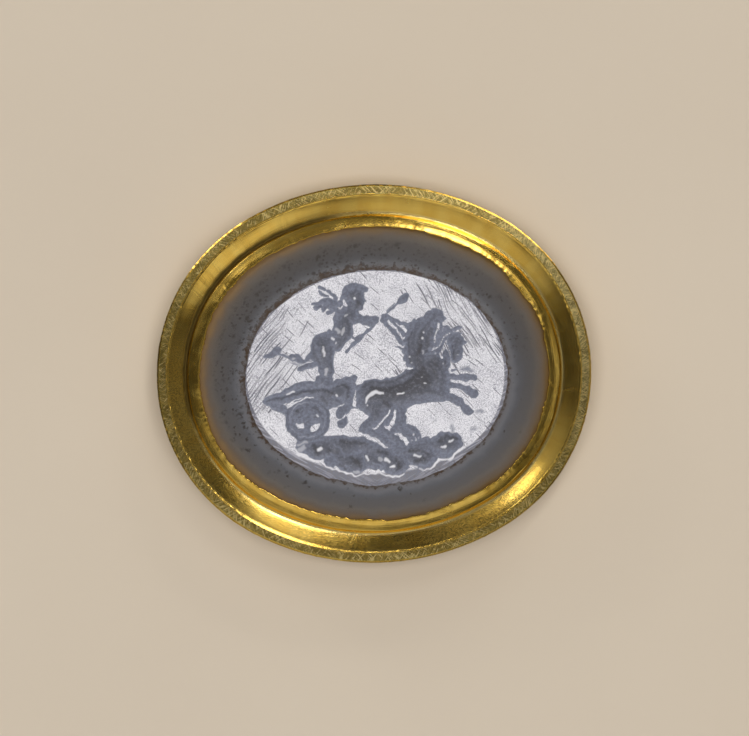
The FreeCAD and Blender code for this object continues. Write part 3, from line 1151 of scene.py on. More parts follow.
class Collar(TurnedRing):
    """The collar, its edge burnished over the stone and a little ragged."""

    turns = 1200
    ragged = (Wander(31, 3, 14, 0.026), Wander(32, 24, 200, 0.018))
    dents = (Wander(33, 5, 24, 0.010), Wander(34, 20, 70, 0.0010))

    def section(self) -> list[Point]:
        """Return the collar's section: a steep rise, a softer shoulder and the lip."""
        size = self.setting
        outer = size.valley_inset
        inner = outer + size.collar
        rise = size.lip_height - size.valley_height
        nose = (outer + size.lip_reach - 0.05, size.lip_height - 0.012)
        lip = (outer + size.lip_reach, size.lip_height - 0.055)
        shoulder = (outer + 0.22 * size.lip_reach, size.valley_height + 0.44 * rise)
        under = (lip[0] - 0.02, size.lip_height - size.lip_edge)
        throat = (inner, size.lip_height - 0.32)
        points = curve((inner, size.floor_height), (outer, size.floor_height), 0, 3)
        points += curve((outer, size.floor_height), (outer, size.valley_height), 0, 6)
        foot = (outer + 0.09 * size.lip_reach, size.valley_height + 0.11 * rise)
        points += curve((outer, size.valley_height), foot, -0.010, 8)
        points += curve(foot, shoulder, 0.005, 8)
        points += curve(shoulder, nose, 0.020, 20)
        points += curve(nose, lip, 0.012, 6)
        points += curve(lip, under, 0.008, 3)
        points += curve(under, throat, 0, 5)
        return points + curve(throat, (inner, size.floor_height), 0, 4)

    def worked(self, theta: np.ndarray, inset: float, height: float) -> tuple[np.ndarray, np.ndarray]:
        """Return a point with the burnisher's dents and the ragged lip."""
        size = self.setting
        insets, heights = np.full_like(theta, inset), np.full_like(theta, height)
        share = (inset - size.valley_inset) / size.lip_reach
        if height < size.valley_height or share <= 0:
            return insets, heights
        broad, fine = self.dents
        on_band = min(1.0, 3 * share)
        heights = heights + on_band * (broad(theta, inset) + fine(theta, inset))
        coarse, ragged = self.ragged
        near_lip = max(0.0, (share - 0.55) / 0.45) ** 1.5
        insets = insets + near_lip * (coarse(theta) + ragged(theta))
        return insets, heights


class Tool(Enum):
    """The engraver's wheels: depth as a share of a cut's half width, and how round its floor is."""

    BALL = (0.50, 1.6)
    BROAD = (0.36, 1.5)
    DISC = (0.95, 1.0)
    TOUCH = (0.16, 1.4)
    FAINT = (0.075, 1.6)

    @property
    def depth_share(self) -> float:
        """Depth over half width."""
        return self.value[0]

    @property
    def roundness(self) -> float:
        """The power of the cut's section, 1 for a plain V."""
        return self.value[1]


@dataclass(frozen=True)
class Cut:
    """Passes of one tool, each with x, y and half width step by step."""

    tool: Tool
    passes: tuple[Pass, ...]


@dataclass(frozen=True)
class Keep:
    """Places that the tools leave standing, given as passes are."""

    passes: tuple[Pass, ...]
    # Level keeps are levelled and painted near-white as a highlight, as shines are.
    level: bool = False


@dataclass(frozen=True)
class Crease:
    """Soft lines in the floor of the cuts, sunk, or raised where the size is under 0; their colour goes
    deeper than their cut, as painted shade in furrows and painted highlight on ridges.
    """

    passes: tuple[Pass, ...]
    size: float = 0.8


@dataclass(frozen=True)
class Shine:
    """Level places inside the cuts, painted near-white as highlights where they would catch the light."""

    passes: tuple[Pass, ...]
    strength: float = 1.0


class Figure:
    """A part of the picture: a dataclass of cuts, of places kept and of places that shine."""

    def of_kind(self, kind: type) -> list:
        """Return the fields of one kind, in order."""
        return [getattr(self, f.name) for f in fields(self) if isinstance(getattr(self, f.name), kind)]


@dataclass(frozen=True)
class Youth(Figure):
    """A winged youth who leans forward with a goad and the reins."""

    skull: Cut = Cut(Tool.BROAD, ((-21, 79.5, 11), (-21, 84, 7, -13, 84.5, 5, -7.5, 82.8, 3)))
    face: Cut = Cut(Tool.BALL, (
        (-17, 78, 8, -15.5, 71, 6.5, -14.5, 67, 4.2), (-12, 75, 3.4, -8.6, 72.6, 1.6),
        (-12, 69.4, 2.6, -9.6, 69.2, 1.1), (-13, 66, 3.2, -11.6, 65.2, 2),
    ))
    neck: Cut = Cut(Tool.BALL, ((-21, 69, 6.5, -22, 62, 7, -24, 58, 8), (-30, 79, 2.4, -32, 74, 2)))
    feathers: Cut = Cut(Tool.BALL, (
        (-37, 75, 1.7, -42, 79.5, 2.3, -47, 83, 1.6), (-50, 84.5, 2.2, -54.5, 86, 2.2),
        (-45, 77, 1.3, -50, 79.2, 2.1, -55, 81.5, 1.5),
        (-38, 70, 4, -45, 71.5, 4.2, -53, 70.5, 3, -60.5, 69.3, 2), (-58, 65, 2.3, -53, 66.8, 2.4),
        (-48.5, 66, 3.2, -50, 63.6, 2.8), (-41, 66, 3, -46, 66.5, 2.6),
        (-37, 64.5, 1.8, -41, 62, 2.3, -46, 59.3, 1.2), (-34, 70, 3.4, -31, 66.5, 2.8),
    ))
    torso: Cut = Cut(Tool.BROAD, (
        (-27, 57.5, 10, -30, 50, 10.5, -30.5, 43, 10.3, -33.5, 36, 9.4, -36, 29.5, 7.6, -37, 26, 4.6),
        (-34, 60, 4.5, -38, 52, 3.4), (-43, 40, 4, -37, 33, 7),
    ))
    arm: Cut = Cut(Tool.BALL, ((-22, 56, 6.8, -12, 53.6, 5, -4, 52.6, 5.1, 2.4, 53, 4),))
    goad: Cut = Cut(Tool.BALL, (
        (1, 49, 1.4, -5, 43.5, 2.1, -9, 39.5, 1.8), (-10.5, 38.5, 2.4, -16, 34, 3.8),
        (-17, 32, 2, -27, 21.7, 1.7), (13.5, 60.5, 1.1, 20, 66, 1.5, 25, 70.8, 1.6),
        (26.5, 71.8, 3.2, 29.5, 74.8, 4.2, 32.3, 77.6, 3.3),
    ))
    fingers: Cut = Cut(Tool.DISC, ((13, 62, 0.7, 20.5, 70.3, 0.8), (-24.5, 37.2, 1.1, -20, 35.8, 1.2)))
    hand: Cut = Cut(Tool.BALL, ((10, 52.8, 3.2, 11, 57, 3.7),))
    reins: Cut = Cut(Tool.BALL, (
        (13, 57.6, 2.2, 22, 53.2, 2.2, 34, 48.3, 2.2), (14, 55.4, 1.5, 21, 48.9, 2.3, 30, 39.6, 2.5),
        (11.5, 50, 2, 20, 41.6, 2.3, 29, 30, 2.8),
    ))
    hips: Cut = Cut(Tool.BROAD, (
        (-47, 34, 7.5, -51.5, 28.5, 11.6, -50.5, 20, 11.6, -48.2, 10, 8.8, -46.5, 1, 7.4, -46, -5, 6),
        (-58, 19, 6.5, -62.5, 14, 5.8),
    ))
    shin: Cut = Cut(Tool.BALL, (
        (-58, 9.5, 2.4, -66, 7.2, 3.6, -73, 5, 3.1),
        (-82, 16.4, 3, -77.5, 15.3, 3.9, -72, 13, 2.8, -65, 11.2, 1.4), (-93.5, 19, 1.7, -86, 16.6, 1.5),
    ))
    sole: Cut = Cut(Tool.BALL, (
        (-108, 17, 2.4, -102, 18.6, 3, -97, 22, 3.6, -94.5, 23.6, 3), (-94.5, 19.5, 1.8, -90, 18, 1.3),
    ))
    calf_edge: Cut = Cut(Tool.TOUCH, ((-85, 12, 1.2, -79, 9.7, 2, -71, 9.2, 1.2),))
    gaps: Keep = Keep((
        (-29, 70, 1.3, -27.5, 67.5, 1.4), (-35.6, 66.2, 0.5, -33.2, 64.6, 0.7, -30.4, 66.6, 0.6),
        (-50.5, 81.4, 0.7, -45, 78.7, 0.8, -40.5, 76.2, 0.7), (-67, 9.9, 0.5, -60, 12.4, 0.4),
        (14.2, 52.4, 0.6, 20, 47.2, 0.9, 25, 41, 0.9, 29.7, 34.4, 0.7),
        (26, 47.9, 0.4, 30.2, 45.6, 0.9, 32.2, 42.8, 1.3), (5.9, 55.5, 0.6, 5.9, 52, 0.6),
    ))
    glints: Shine = Shine((
        (-19.2, 76.6, 0.9, -18.6, 75.2, 0.9), (-42, 35.8, 1.5, -41, 34.4, 1.2), (-37.4, 30.4, 1.1),
        (-50.4, 26.8, 0.8, -49.6, 22, 1.3, -48.6, 17, 0.9),
    ))
    soft_glints: Shine = Shine((
        (-28.8, 46, 1.1, -30.2, 42, 2, -31.8, 38.8, 1.1), (-36.5, 43.5, 1.8, -34.4, 41, 2),
        (-79.4, 15, 1.3), (-62.8, 13.4, 0.9), (-28, 58.2, 1, -26.2, 58.2, 0.8),
        (-47.4, 4, 1.4, -47, -2.5, 1.4),
    ), 0.5)
    ridges: Crease = Crease((
        (-56, 27, 2.6, -53.5, 17, 2.2), (-30, 59.4, 1, -33, 54.6, 1),
        (-56, 69.5, 1.8, -50, 68.4, 2.2, -45, 69.4, 1.6), (-38, 52, 1.6, -34, 56, 1.6),
        (-20, 55.6, 1.6, -8, 53.6, 1.8, 0, 53.6, 1.4), (-22, 84, 3, -27, 78, 2),
    ), -0.5)
    furrows: Crease = Crease((
        (-61, 31, 2.2, -60, 22, 2.4, -54, 8, 2), (-42, 27, 2, -42.5, 12, 2, -42.6, 0, 1.6),
        (-25, 52, 2, -24, 45, 2.2, -28, 34, 2, -34, 27, 2), (-15, 71, 2.6, -17, 66, 2.4),
        (-58, 67.6, 0.8, -50, 65.4, 0.8, -45, 67.2, 0.8, -40, 68.4, 0.8),
    ), 0.6)


@dataclass(frozen=True)
class Chariot(Figure):
    """The light chariot, with its rail, front panel and spoked wheel."""

    rail: Cut = Cut(Tool.BALL, (
        (-108, -25.2, 1.6, -96, -21.6, 2.6, -84, -16, 3.2, -74, -12.4, 3.8),
        (-72, -11.6, 3.8, -60, -12, 4.4, -44, -12.6, 4.6, -33, -9.4, 4.4, -22, -5, 3.4, -17.8, -3, 1.8),
        (-20, -7, 2.6, -18.5, -3.6, 1.8),
        (-108, -28, 2.6, -96, -26.6, 3.6, -84, -22.6, 3.2, -70, -18.4, 3.6, -56, -18, 4.6),
    ))
    body: Cut = Cut(Tool.BROAD, (
        (-52, -7, 6.5, -47, -12, 8), (-105, -31, 2.2, -97, -33.5, 4.4, -91, -35.6, 5.2, -88, -37.4, 4),
        (-58, -19, 6, -47, -21, 9, -36, -19, 11, -29, -15, 9.6), (-45, -26, 8, -38, -27, 8),
        (-46, -29, 5, -43.4, -33, 3.4), (-27, -20, 7.4, -28.5, -27, 7.4),
        (-22, -12, 3.6, -19.4, -16, 2.6, -22.4, -24, 3, -22.8, -31, 2.6),
        (-18.6, -10.8, 2, -18.2, -14, 2.4, -18, -17, 1.8),
        (-22, -32, 2.6, -20, -34.4, 1.8, -16.6, -35, 1.6),
        (-100, -29.6, 2.4, -90, -28, 2.8, -82, -26, 2.8, -74, -22.2, 2.6, -58, -20.6, 3.4),
    ))
    scroll: Cut = Cut(Tool.BALL, (
        (-25.5, -32.5, 3.6, -30, -36.6, 5.6, -33.6, -41, 4.6),
        (-28.2, -44.6, 1.8, -29.4, -48, 3.8, -31.4, -50.4, 4.6),
    ))
    hub: Cut = Cut(Tool.BALL, ((-65.7, -46.4, 4.5),))
    spokes: Cut = Cut(Tool.BALL, ((-80, -46.2, 3.2, -52, -46.6, 3.4), (-65.5, -33, 3.6, -65.5, -60, 3.6)))
    fields_cut: Cut = Cut(Tool.BROAD, (
        (-75, -40, 7.5, -72, -36, 6), (-57, -40, 7.5, -59, -36, 6),
        (-79.6, -51, 2.2, -78, -57, 2.6, -73, -58.4, 3.8, -68, -58, 3.6),
        (-51.4, -51, 2.4, -52.6, -57, 3, -58, -60.8, 3.6), (-61.6, -50.2, 1.8, -56, -49, 1.6),
    ))
    patches: Keep = Keep((
        (-75.8, -52.2, 1.5, -71.6, -51.4, 1.4), (-59.6, -54.6, 1.5, -56.4, -53, 1.3),
        (-87.4, -31.6, 0.5, -83.4, -32.2, 1.2, -77, -29.2, 0.8),
        (-77, -29, 0.7, -70, -25.6, 0.7, -64, -23.9, 0.9, -60, -24.6, 0.5),
        (-37.8, -37, 0.9, -34.4, -33.4, 0.8, -30.6, -30.2, 0.6), (-31, -44.4, 0.7, -27.8, -41, 0.8),
    ))
    glints: Shine = Shine((
        (-85.6, -20.6, 0.7, -79.6, -18.8, 0.9), (-36.8, -22.4, 1.2), (-56, -41.6, 0.9, -54.8, -42.6, 0.7),
    ))
    ridges: Crease = Crease((
        (-104, -23.6, 1.4, -92, -20.6, 1.8, -78, -14.6, 2, -66, -12.6, 2, -48, -13, 2.2, -38, -12, 2),
        (-58, -13.6, 3.2, -53, -14, 3), (-32, -6.4, 1.4, -24, -4.6, 1.2), (-96, -33, 1.6, -88, -36, 1.6),
        (-41, -24, 2, -32, -25, 2.2, -27, -31, 1.6), (-79, -45.4, 0.8, -70, -45, 0.9),
        (-61, -45.4, 0.8, -53, -45.6, 0.9),
    ), -0.55)
    furrows: Crease = Crease((
        (-106, -26.6, 1.6, -92, -24.8, 2, -80, -21.4, 2.2, -66, -17.6, 2, -50, -17.4, 2.2, -42, -19, 2),
        (-94, -21.4, 0.7, -84, -17.6, 0.8, -72, -15, 0.8, -60, -15.6, 0.8),
        (-40, -14, 1.4, -31, -12, 1.6, -25, -16, 1.6, -25, -24, 1.6),
        (-52, -24, 2.2, -47, -30, 2.2, -46, -38, 1.8), (-76, -38, 2, -66, -35, 2, -56, -37, 2),
        (-78, -43.4, 0.8, -53, -43.6, 0.8), (-79, -48.6, 0.8, -53, -49.2, 0.8),
    ), 0.75)

    def rings(self, rows: tuple[Point, ...]) -> tuple[Pass, ...]:
        """Return rings round the wheel's hub, from their radii and half widths."""
        x, y, _ = self.hub.passes[0]
        turns = np.linspace(0, 2 * math.pi, 25)
        rings = []
        for far, width in rows:
            steps = ((x + far * math.cos(turn), y + far * math.sin(turn), width) for turn in turns)
            rings.append(tuple(value for step in steps for value in step))
        return tuple(rings)


@dataclass(frozen=True)
class Team(Figure):
    """The two galloping horses."""

    bodies: Cut = Cut(Tool.BROAD, (
        (-12.5, -15.5, 4.6, -3, -20, 14.4, 9, -20, 15, 22, -19, 16, 34, -15, 16, 46, -9, 17),
        (-9, -30, 8.5, 0, -33, 10.5, 14, -30, 11),
        (28, -26, 10, 42, -18, 13.4, 56, -18, 11.4, 68, -20, 8.6), (28, -6, 6, 36, 0, 5),
        (-14, -14, 3.4, -14.6, -22, 3.8, -13.4, -29, 4),
    ))
    chests: Cut = Cut(Tool.BROAD, ((49, -6, 19), (60, 8, 15, 65, -5, 12.5, 67, -14, 10)))
    necks: Cut = Cut(Tool.BROAD, (
        (46, 8, 13, 43.5, 20, 13, 44.5, 32, 13.5, 48, 43, 12, 54, 50, 9),
        (68, 8, 9, 68.5, 20, 9, 70, 30, 6.5, 73, 38, 4.5), (36, 44, 5.4, 42, 47.5, 6.4),
        (54, 28, 7, 57, 40, 6, 60, 46, 5), (70, 46, 3.2, 67, 40, 3.6, 65, 34, 3.2, 62.5, 28, 2.6),
    ))
    heads: Cut = Cut(Tool.BALL, (
        (52, 51.5, 5.6, 58, 56, 7, 63, 58.4, 5.8, 68.5, 55.6, 3.6), (60, 62, 3.4, 66, 60.6, 3.8),
        (63, 52, 5.4, 67, 47, 3), (81.5, 34, 7.6, 83.6, 31.6, 7.6),
        (83, 27, 7.2, 82.8, 20, 6.6, 82.5, 14.4, 4.6), (88, 31.5, 4),
    ))
    ears: Cut = Cut(Tool.BALL, (
        (73.5, 44.6, 3.4, 76.4, 42, 2.8), (78.5, 43.4, 1.4, 83.5, 44.8, 2.2, 88, 47.2, 1.2),
        (78, 41, 1.6, 84, 40.4, 1.3, 89, 40.6, 0.7), (58.6, 63.6, 1.8, 59.4, 65.4, 1),
        (79, 3, 1.6, 82.4, 4.2, 1.1),
    ))
    manes: Cut = Cut(Tool.BALL, (
        (40.4, 52.4, 2.6, 41, 54.6, 1.2), (36.4, 47.6, 3.6), (33.6, 40.6, 3.4, 37, 37, 4),
        (31.6, 32, 3.6, 36, 30, 4), (31, 22.6, 3.8, 36, 22, 4), (33.2, 14.6, 3.6, 38, 14, 4),
        (36.4, 8.8, 3.2, 40, 9, 3),
    ))
    forelegs: Cut = Cut(Tool.BALL, (
        (74, -3, 3.4, 86, -3.2, 3.2, 91.6, -4.4, 3.9, 96, -3.8, 3.3, 100, -4.2, 3.7),
        (74, -11.6, 3.6, 85, -12.4, 3.1, 91, -15, 3.6, 96.4, -18.4, 3.7, 101, -20, 4.4),
        (72, -22, 4.6, 79, -25, 4.5, 86, -29, 4.8, 89.6, -32.4, 3.9, 94, -37, 4.7, 96.4, -38.6, 3.6),
    ))
    faint_leg: Cut = Cut(Tool.FAINT, (
        (86.5, 4.2, 2.6, 92, 4.8, 4.4, 96, 4.2, 4.2, 101, 3, 2), (85, 3.4, 1.6, 92, 1.6, 1.6),
    ))
    hindlegs: Cut = Cut(Tool.BALL, (
        (2, -34, 9, 3, -42, 7.5, -3, -49.4, 5.6, -10, -55.4, 5),
        (-11, -56.6, 3.6, -2, -58.8, 4, 6, -61.6, 4.2, 12, -66.6, 4.4, 17, -71, 4),
        (13, -40, 6, 7, -48, 5.4, 4, -53, 4.4),
        (4, -54, 3.4, 14, -59.6, 4.6, 21, -64.6, 4.6, 27, -70.4, 4.4), (17.4, -42, 3.4, 12, -49.6, 3.4),
        (27, -35, 5.6, 27, -46, 5.2, 25.6, -53, 5),
        (25, -54.6, 4.4, 32, -58.4, 4.8, 37.4, -63.6, 4.2, 38, -68.4, 2.4),
        (33, -53.4, 3.4, 40.6, -57, 4.2, 44.6, -61.4, 3.6, 46, -66.4, 3), (20, -58, 4, 22, -54, 3),
    ))
    whisk: Cut = Cut(Tool.DISC, ((21, 26.8, 0.7, 28, 25, 1.2),))
    slivers: Keep = Keep((
        (-17.6, -17.6, 0.6, -19, -24, 0.8, -19.6, -30.6, 1.1),
        (16, -37.2, 0.7, 12.4, -42.8, 0.7, 6, -50.2, 0.7, 0.4, -55.8, 0.5),
        (22, -36.8, 1.1, 21.2, -43, 1.1, 18.8, -49, 1.8, 15.6, -53.6, 2.2),
        (12, -53.8, 0.9, 16.4, -55.6, 1.2),
        (22.4, -59.6, 0.8, 26.4, -62, 2, 30.4, -65.8, 2.1, 33, -69.6, 1.4),
        (64.9, 50, 0.9, 64.2, 44.6, 0.8, 61.4, 37.6, 0.6, 59.9, 32.2, 0.8),
        (70.4, 51, 0.5, 71, 48.6, 0.9, 73, 48.4, 0.7), (70, 46.6, 0.3, 68.6, 42.4, 0.3),
        (76.6, 40, 0.5, 70.4, 35.9, 0.7, 67, 31, 0.6, 61.8, 23.8, 0.5),
        (72.4, 32, 1, 70.4, 26.4, 1.7, 68.2, 20.4, 1.3, 68.2, 15.8, 1.1),
        (73.2, 27, 1.2, 75.4, 21.6, 0.7, 76.6, 17.8, 0.7), (78.8, 9.4, 1.3, 77.4, 4.6, 1),
        (34, 4.4, 0.7, 38, 5.6, 0.6),
    ))
    glints: Shine = Shine((
        (-7.6, -29, 1, -6, -24, 1.6, -3, -21, 1.8, 2.6, -19.2, 1.8, 9.6, -19.4, 1),
        (23.4, -20.2, 0.7, 29, -19.4, 1), (48.8, -3.4, 0.8), (50.8, -9.5, 0.9, 52, -9.6, 0.7),
        (36.8, 17.4, 1), (50.6, 41.2, 1), (48.6, 35.2, 1.3), (40, -61, 1), (-5.6, -31.4, 0.7),
    ))
    soft_glints: Shine = Shine((
        (49, 23.4, 0.9, 49.2, 21, 0.8), (83.6, 18, 0.9), (37.6, 11.6, 0.8), (62.6, 20, 0.8),
        (69.8, 9.6, 1.2), (38.4, -67.4, 0.7), (45.6, -63.6, 0.8),
    ), 0.5)
    ridges: Crease = Crease((
        (32, -18, 1.1, 38, -15.4, 1.1, 46, -10.8, 1),
        (58, 9, 1.4, 64.6, 2.6, 1.6, 66.4, -6, 1.6, 63.6, -17, 1.4),
        (73.6, 6, 1.4, 75, -4, 1.4, 73, -15, 1.2), (40, -22, 2.4, 54, -22, 2.6, 66, -23, 2.2),
        (1, -38, 1, 2, -32, 1), (25, -53, 0.9, 35, -58.8, 0.9), (-5.6, -54, 0.9, 2, -50, 0.8, 6, -44, 0.8),
        (2, -57.6, 1, 12, -62, 1, 17, -68, 0.9), (26, -36, 1.2, 27, -47, 1.2),
        (42, 24, 2.2, 43, 36, 2.4, 48, 47, 2.2, 58, 57, 2), (79.4, 33, 1.2, 82, 36.6, 1.2, 86.6, 35, 1.2),
        (84, 12, 1, 85.6, 20, 1.2), (80, -3, 1, 92, -3.6, 1, 100, -3.4, 1.2),
        (82, -12, 1, 93, -15.6, 1, 100, -19.4, 1.2), (80, -25, 1, 88, -30.6, 1, 95, -37, 1.2),
    ), -0.5)
    furrows: Crease = Crease((
        (-11, -13, 2.4, -4, -9, 2.4, 8, -8.4, 2.4, 18, -7.6, 2.2, 28, -3.4, 2.2, 38, 3, 2.4),
        (-2, -14.6, 2.6, 10, -15.4, 2.8, 24, -14.6, 2.8, 36, -8.6, 3, 46, -3, 4.4, 50, 4, 4),
        (53, 22, 2.4, 54, 34, 2.6, 58, 44, 2.4), (37, 12, 1.4, 35, 22, 1.4, 35, 32, 1.4, 38, 41, 1.4),
        (47, 28, 1.6, 45, 20, 1.6), (10, -28, 2.4, 16, -34, 2), (31, -37, 1.2, 31, -48, 1.2),
        (72, 12, 1.6, 73, 3, 1.6), (78.6, 29, 1, 80, 22, 1, 80.6, 14, 1),
    ), 0.7)


@dataclass(frozen=True)
class Clouds(Figure):
    """The bank of clouds under the team."""

    lobes: Cut = Cut(Tool.BROAD, (
        (-73.4, -70, 3.6, -74, -75.6, 4, -70, -78.4, 3.4),
        (-66, -71, 4.8, -60, -75, 10, -50, -74.6, 11.8, -44, -72, 10.6), (-64, -80.4, 3.6, -56, -82, 4.6),
        (-38, -72, 10.8, -28, -73, 11.6, -20, -72, 9.6), (-12, -71, 8.6, -4, -74.6, 8.2, 6, -80, 8.6),
        (-42.6, -86.4, 8), (-32, -84, 10.4, -22, -89, 11.4, -14, -88, 10.8), (-4, -84, 11.4, 4, -88, 9.8),
        (14, -84, 10.4, 21, -91, 11, 28, -88, 10), (24, -76, 6.6, 34, -78, 8.4, 44, -75, 9, 52, -72, 9),
        (39, -83.6, 9.2, 49, -85.4, 10.6, 56, -82, 10), (62, -71, 8.4, 70, -70, 11.6, 78, -69.4, 11.6),
        (64, -78, 7.4, 72, -79, 6.6, 80, -74, 6), (33, -91, 4, 30, -96, 3),
    ))
    outline: Keep = Keep((
        (-77.6, -76, 0.7, -74, -80.6, 1.2, -68, -82.4, 1.2, -62, -86, 1, -52.4, -87.4, 1),
        (-50.4, -90, 0.7, -46, -93.6, 0.9, -40, -95.4, 0.8, -37, -94.8, 0.7),
        (-37, -95.4, 0.9, -30, -98.4, 0.8, -22, -101, 0.8, -17, -102.4, 0.8, -8, -100, 0.6),
        (-8, -99.8, 0.6, 1, -100.4, 0.7, 5.2, -97, 0.8, 10, -100.4, 0.8, 18, -103, 1),
        (18, -103, 1, 25, -102.8, 0.9, 31, -100, 0.6),
        (45, -94.4, 0.5, 50, -96.4, 0.6, 57, -95.2, 0.7, 61, -90.4, 0.9, 65.6, -85.6, 0.9),
        (66, -86, 0.8, 74, -86.4, 0.9, 82, -80, 1, 89.6, -73, 1),
    ), True)
    gaps: Keep = Keep((
        (-13.6, -61.2, 1.2, -7.6, -61.6, 1.4, 0, -65.4, 1.4, 5.4, -67.4, 1.3),
        (6.6, -69, 1.2, 9.6, -72, 1.2, 13.4, -73.2, 0.9),
    ))
    glints: Shine = Shine((
        (-55.6, -76, 1.7, -51.8, -75, 1.7), (-7, -81.4, 0.8, -6.2, -86.6, 1),
        (11, -85.4, 0.9, 15.6, -87.8, 1.5), (17.4, -93, 0.9, 20.4, -92.8, 1.6),
        (41.4, -81.8, 1.2, 46.6, -82.6, 0.9), (76.2, -67.6, 1.4, 78.6, -67.2, 1.2),
        (67.6, -72.6, 1.1, 71.4, -72.4, 1.5), (36, -92.6, 0.6, 43.6, -93, 0.7),
    ))
    soft_glints: Shine = Shine((
        (-73.4, -76, 2.6, -69.4, -74, 2.2), (-75, -71, 1.2, -66, -68.6, 1.4),
        (-19, -98.4, 1.4, -14.6, -98.2, 1.2), (5.4, -84.4, 1.6, 8, -86, 1.4),
    ), 0.4)
    ridges: Crease = Crease((
        (-40, -71, 1, -33.6, -74.4, 1.4, -29.6, -80, 1.4, -29, -84, 1),
        (-50, -90, 1.6, -47, -84.6, 2.2, -41, -83.4, 2.4, -37.4, -88, 1.8),
        (-20, -79.2, 1, -14, -79.4, 1.2, -10, -81, 1, -9.4, -88, 0.9), (-28, -92.4, 1.2, -22, -91, 1),
        (-60, -67.6, 1.4, -50, -66.4, 1.4), (29, -84, 0.9, 32, -89.6, 0.8), (28, -78, 1.2, 34, -74, 1.2),
        (48, -68, 1.8, 54, -66.4, 1.4), (60, -76, 2.4, 66, -78, 2, 72, -81, 2.4, 79, -77, 2),
        (47, -91, 1.6, 54, -90, 1.6, 60, -84, 1.4), (0, -90, 1.4, 6, -92, 1.4),
    ), -0.75)
    furrows: Crease = Crease((
        (-60, -71, 3, -56, -80, 3), (-44, -77, 3, -36, -79, 2.6),
        (-32, -68, 2.6, -20, -69, 2.8, -8, -70, 2.4), (-22, -84, 2.4, -15, -90, 2.8, -12, -94, 2),
        (-34, -91, 1.6, -27, -96, 1.6), (4, -78, 2.4, 14, -80, 2.6),
        (22, -84, 2.2, 26, -92, 2.4, 22, -97, 2), (36, -78, 2.2, 46, -77, 2.2, 54, -80, 2.2),
        (66, -67, 2.4, 74, -63, 2.4, 83, -66, 2.4), (42, -88, 2, 50, -86, 2),
    ), 0.7)


@dataclass(frozen=True)
class Nicks(Figure):
    """The faint marks that the table has taken in use."""

    dulled: Cut = Cut(Tool.FAINT, (
        (103, -38, 3.6, 108, -38, 3.6), (98, -55.4, 3, 101.6, -54.6, 3.2), (78.4, -51.6, 3.4, 79, -57, 3.6),
        (-25.6, 97, 1.8, -25.6, 93, 2.2), (-18.6, 97.4, 1.6, -17.4, 93.4, 2.2),
        (56, -42, 1.6, 62, -47, 2.2),
    ))
    strokes: Cut = Cut(Tool.TOUCH, (
        (102, -31.4, 0.6, 106, -29.4, 0.9, 112, -27.6, 0.5), (55.4, -46.4, 0.5, 64, -43, 0.6),
        (12, 8.4, 0.5, 7.6, 4.6, 0.7, 4.6, 0.6, 0.6), (14.4, 14.8, 0.6, 13, 10.4, 0.7),
        (17.4, 36.6, 0.7, 15.2, 33.6, 0.6), (21.4, 40.2, 0.5, 20.6, 36, 0.6),
        (12.8, 33.4, 0.8, 12, 30.6, 0.6), (9.6, 27, 0.6, 7.4, 24.4, 0.7),
        (17.4, 29.4, 0.6, 16.8, 24.8, 0.6), (10.8, 23.8, 0.5, 12.8, 20.4, 0.6),
        (67, -33.6, 0.5, 74, -31.8, 0.6), (60.4, -33.4, 0.6, 62.8, -31.8, 0.6),
        (86, -43.4, 0.5, 91, -40.2, 0.5), (-21, 6.4, 0.5, -17, 2.8, 0.6),
    ))


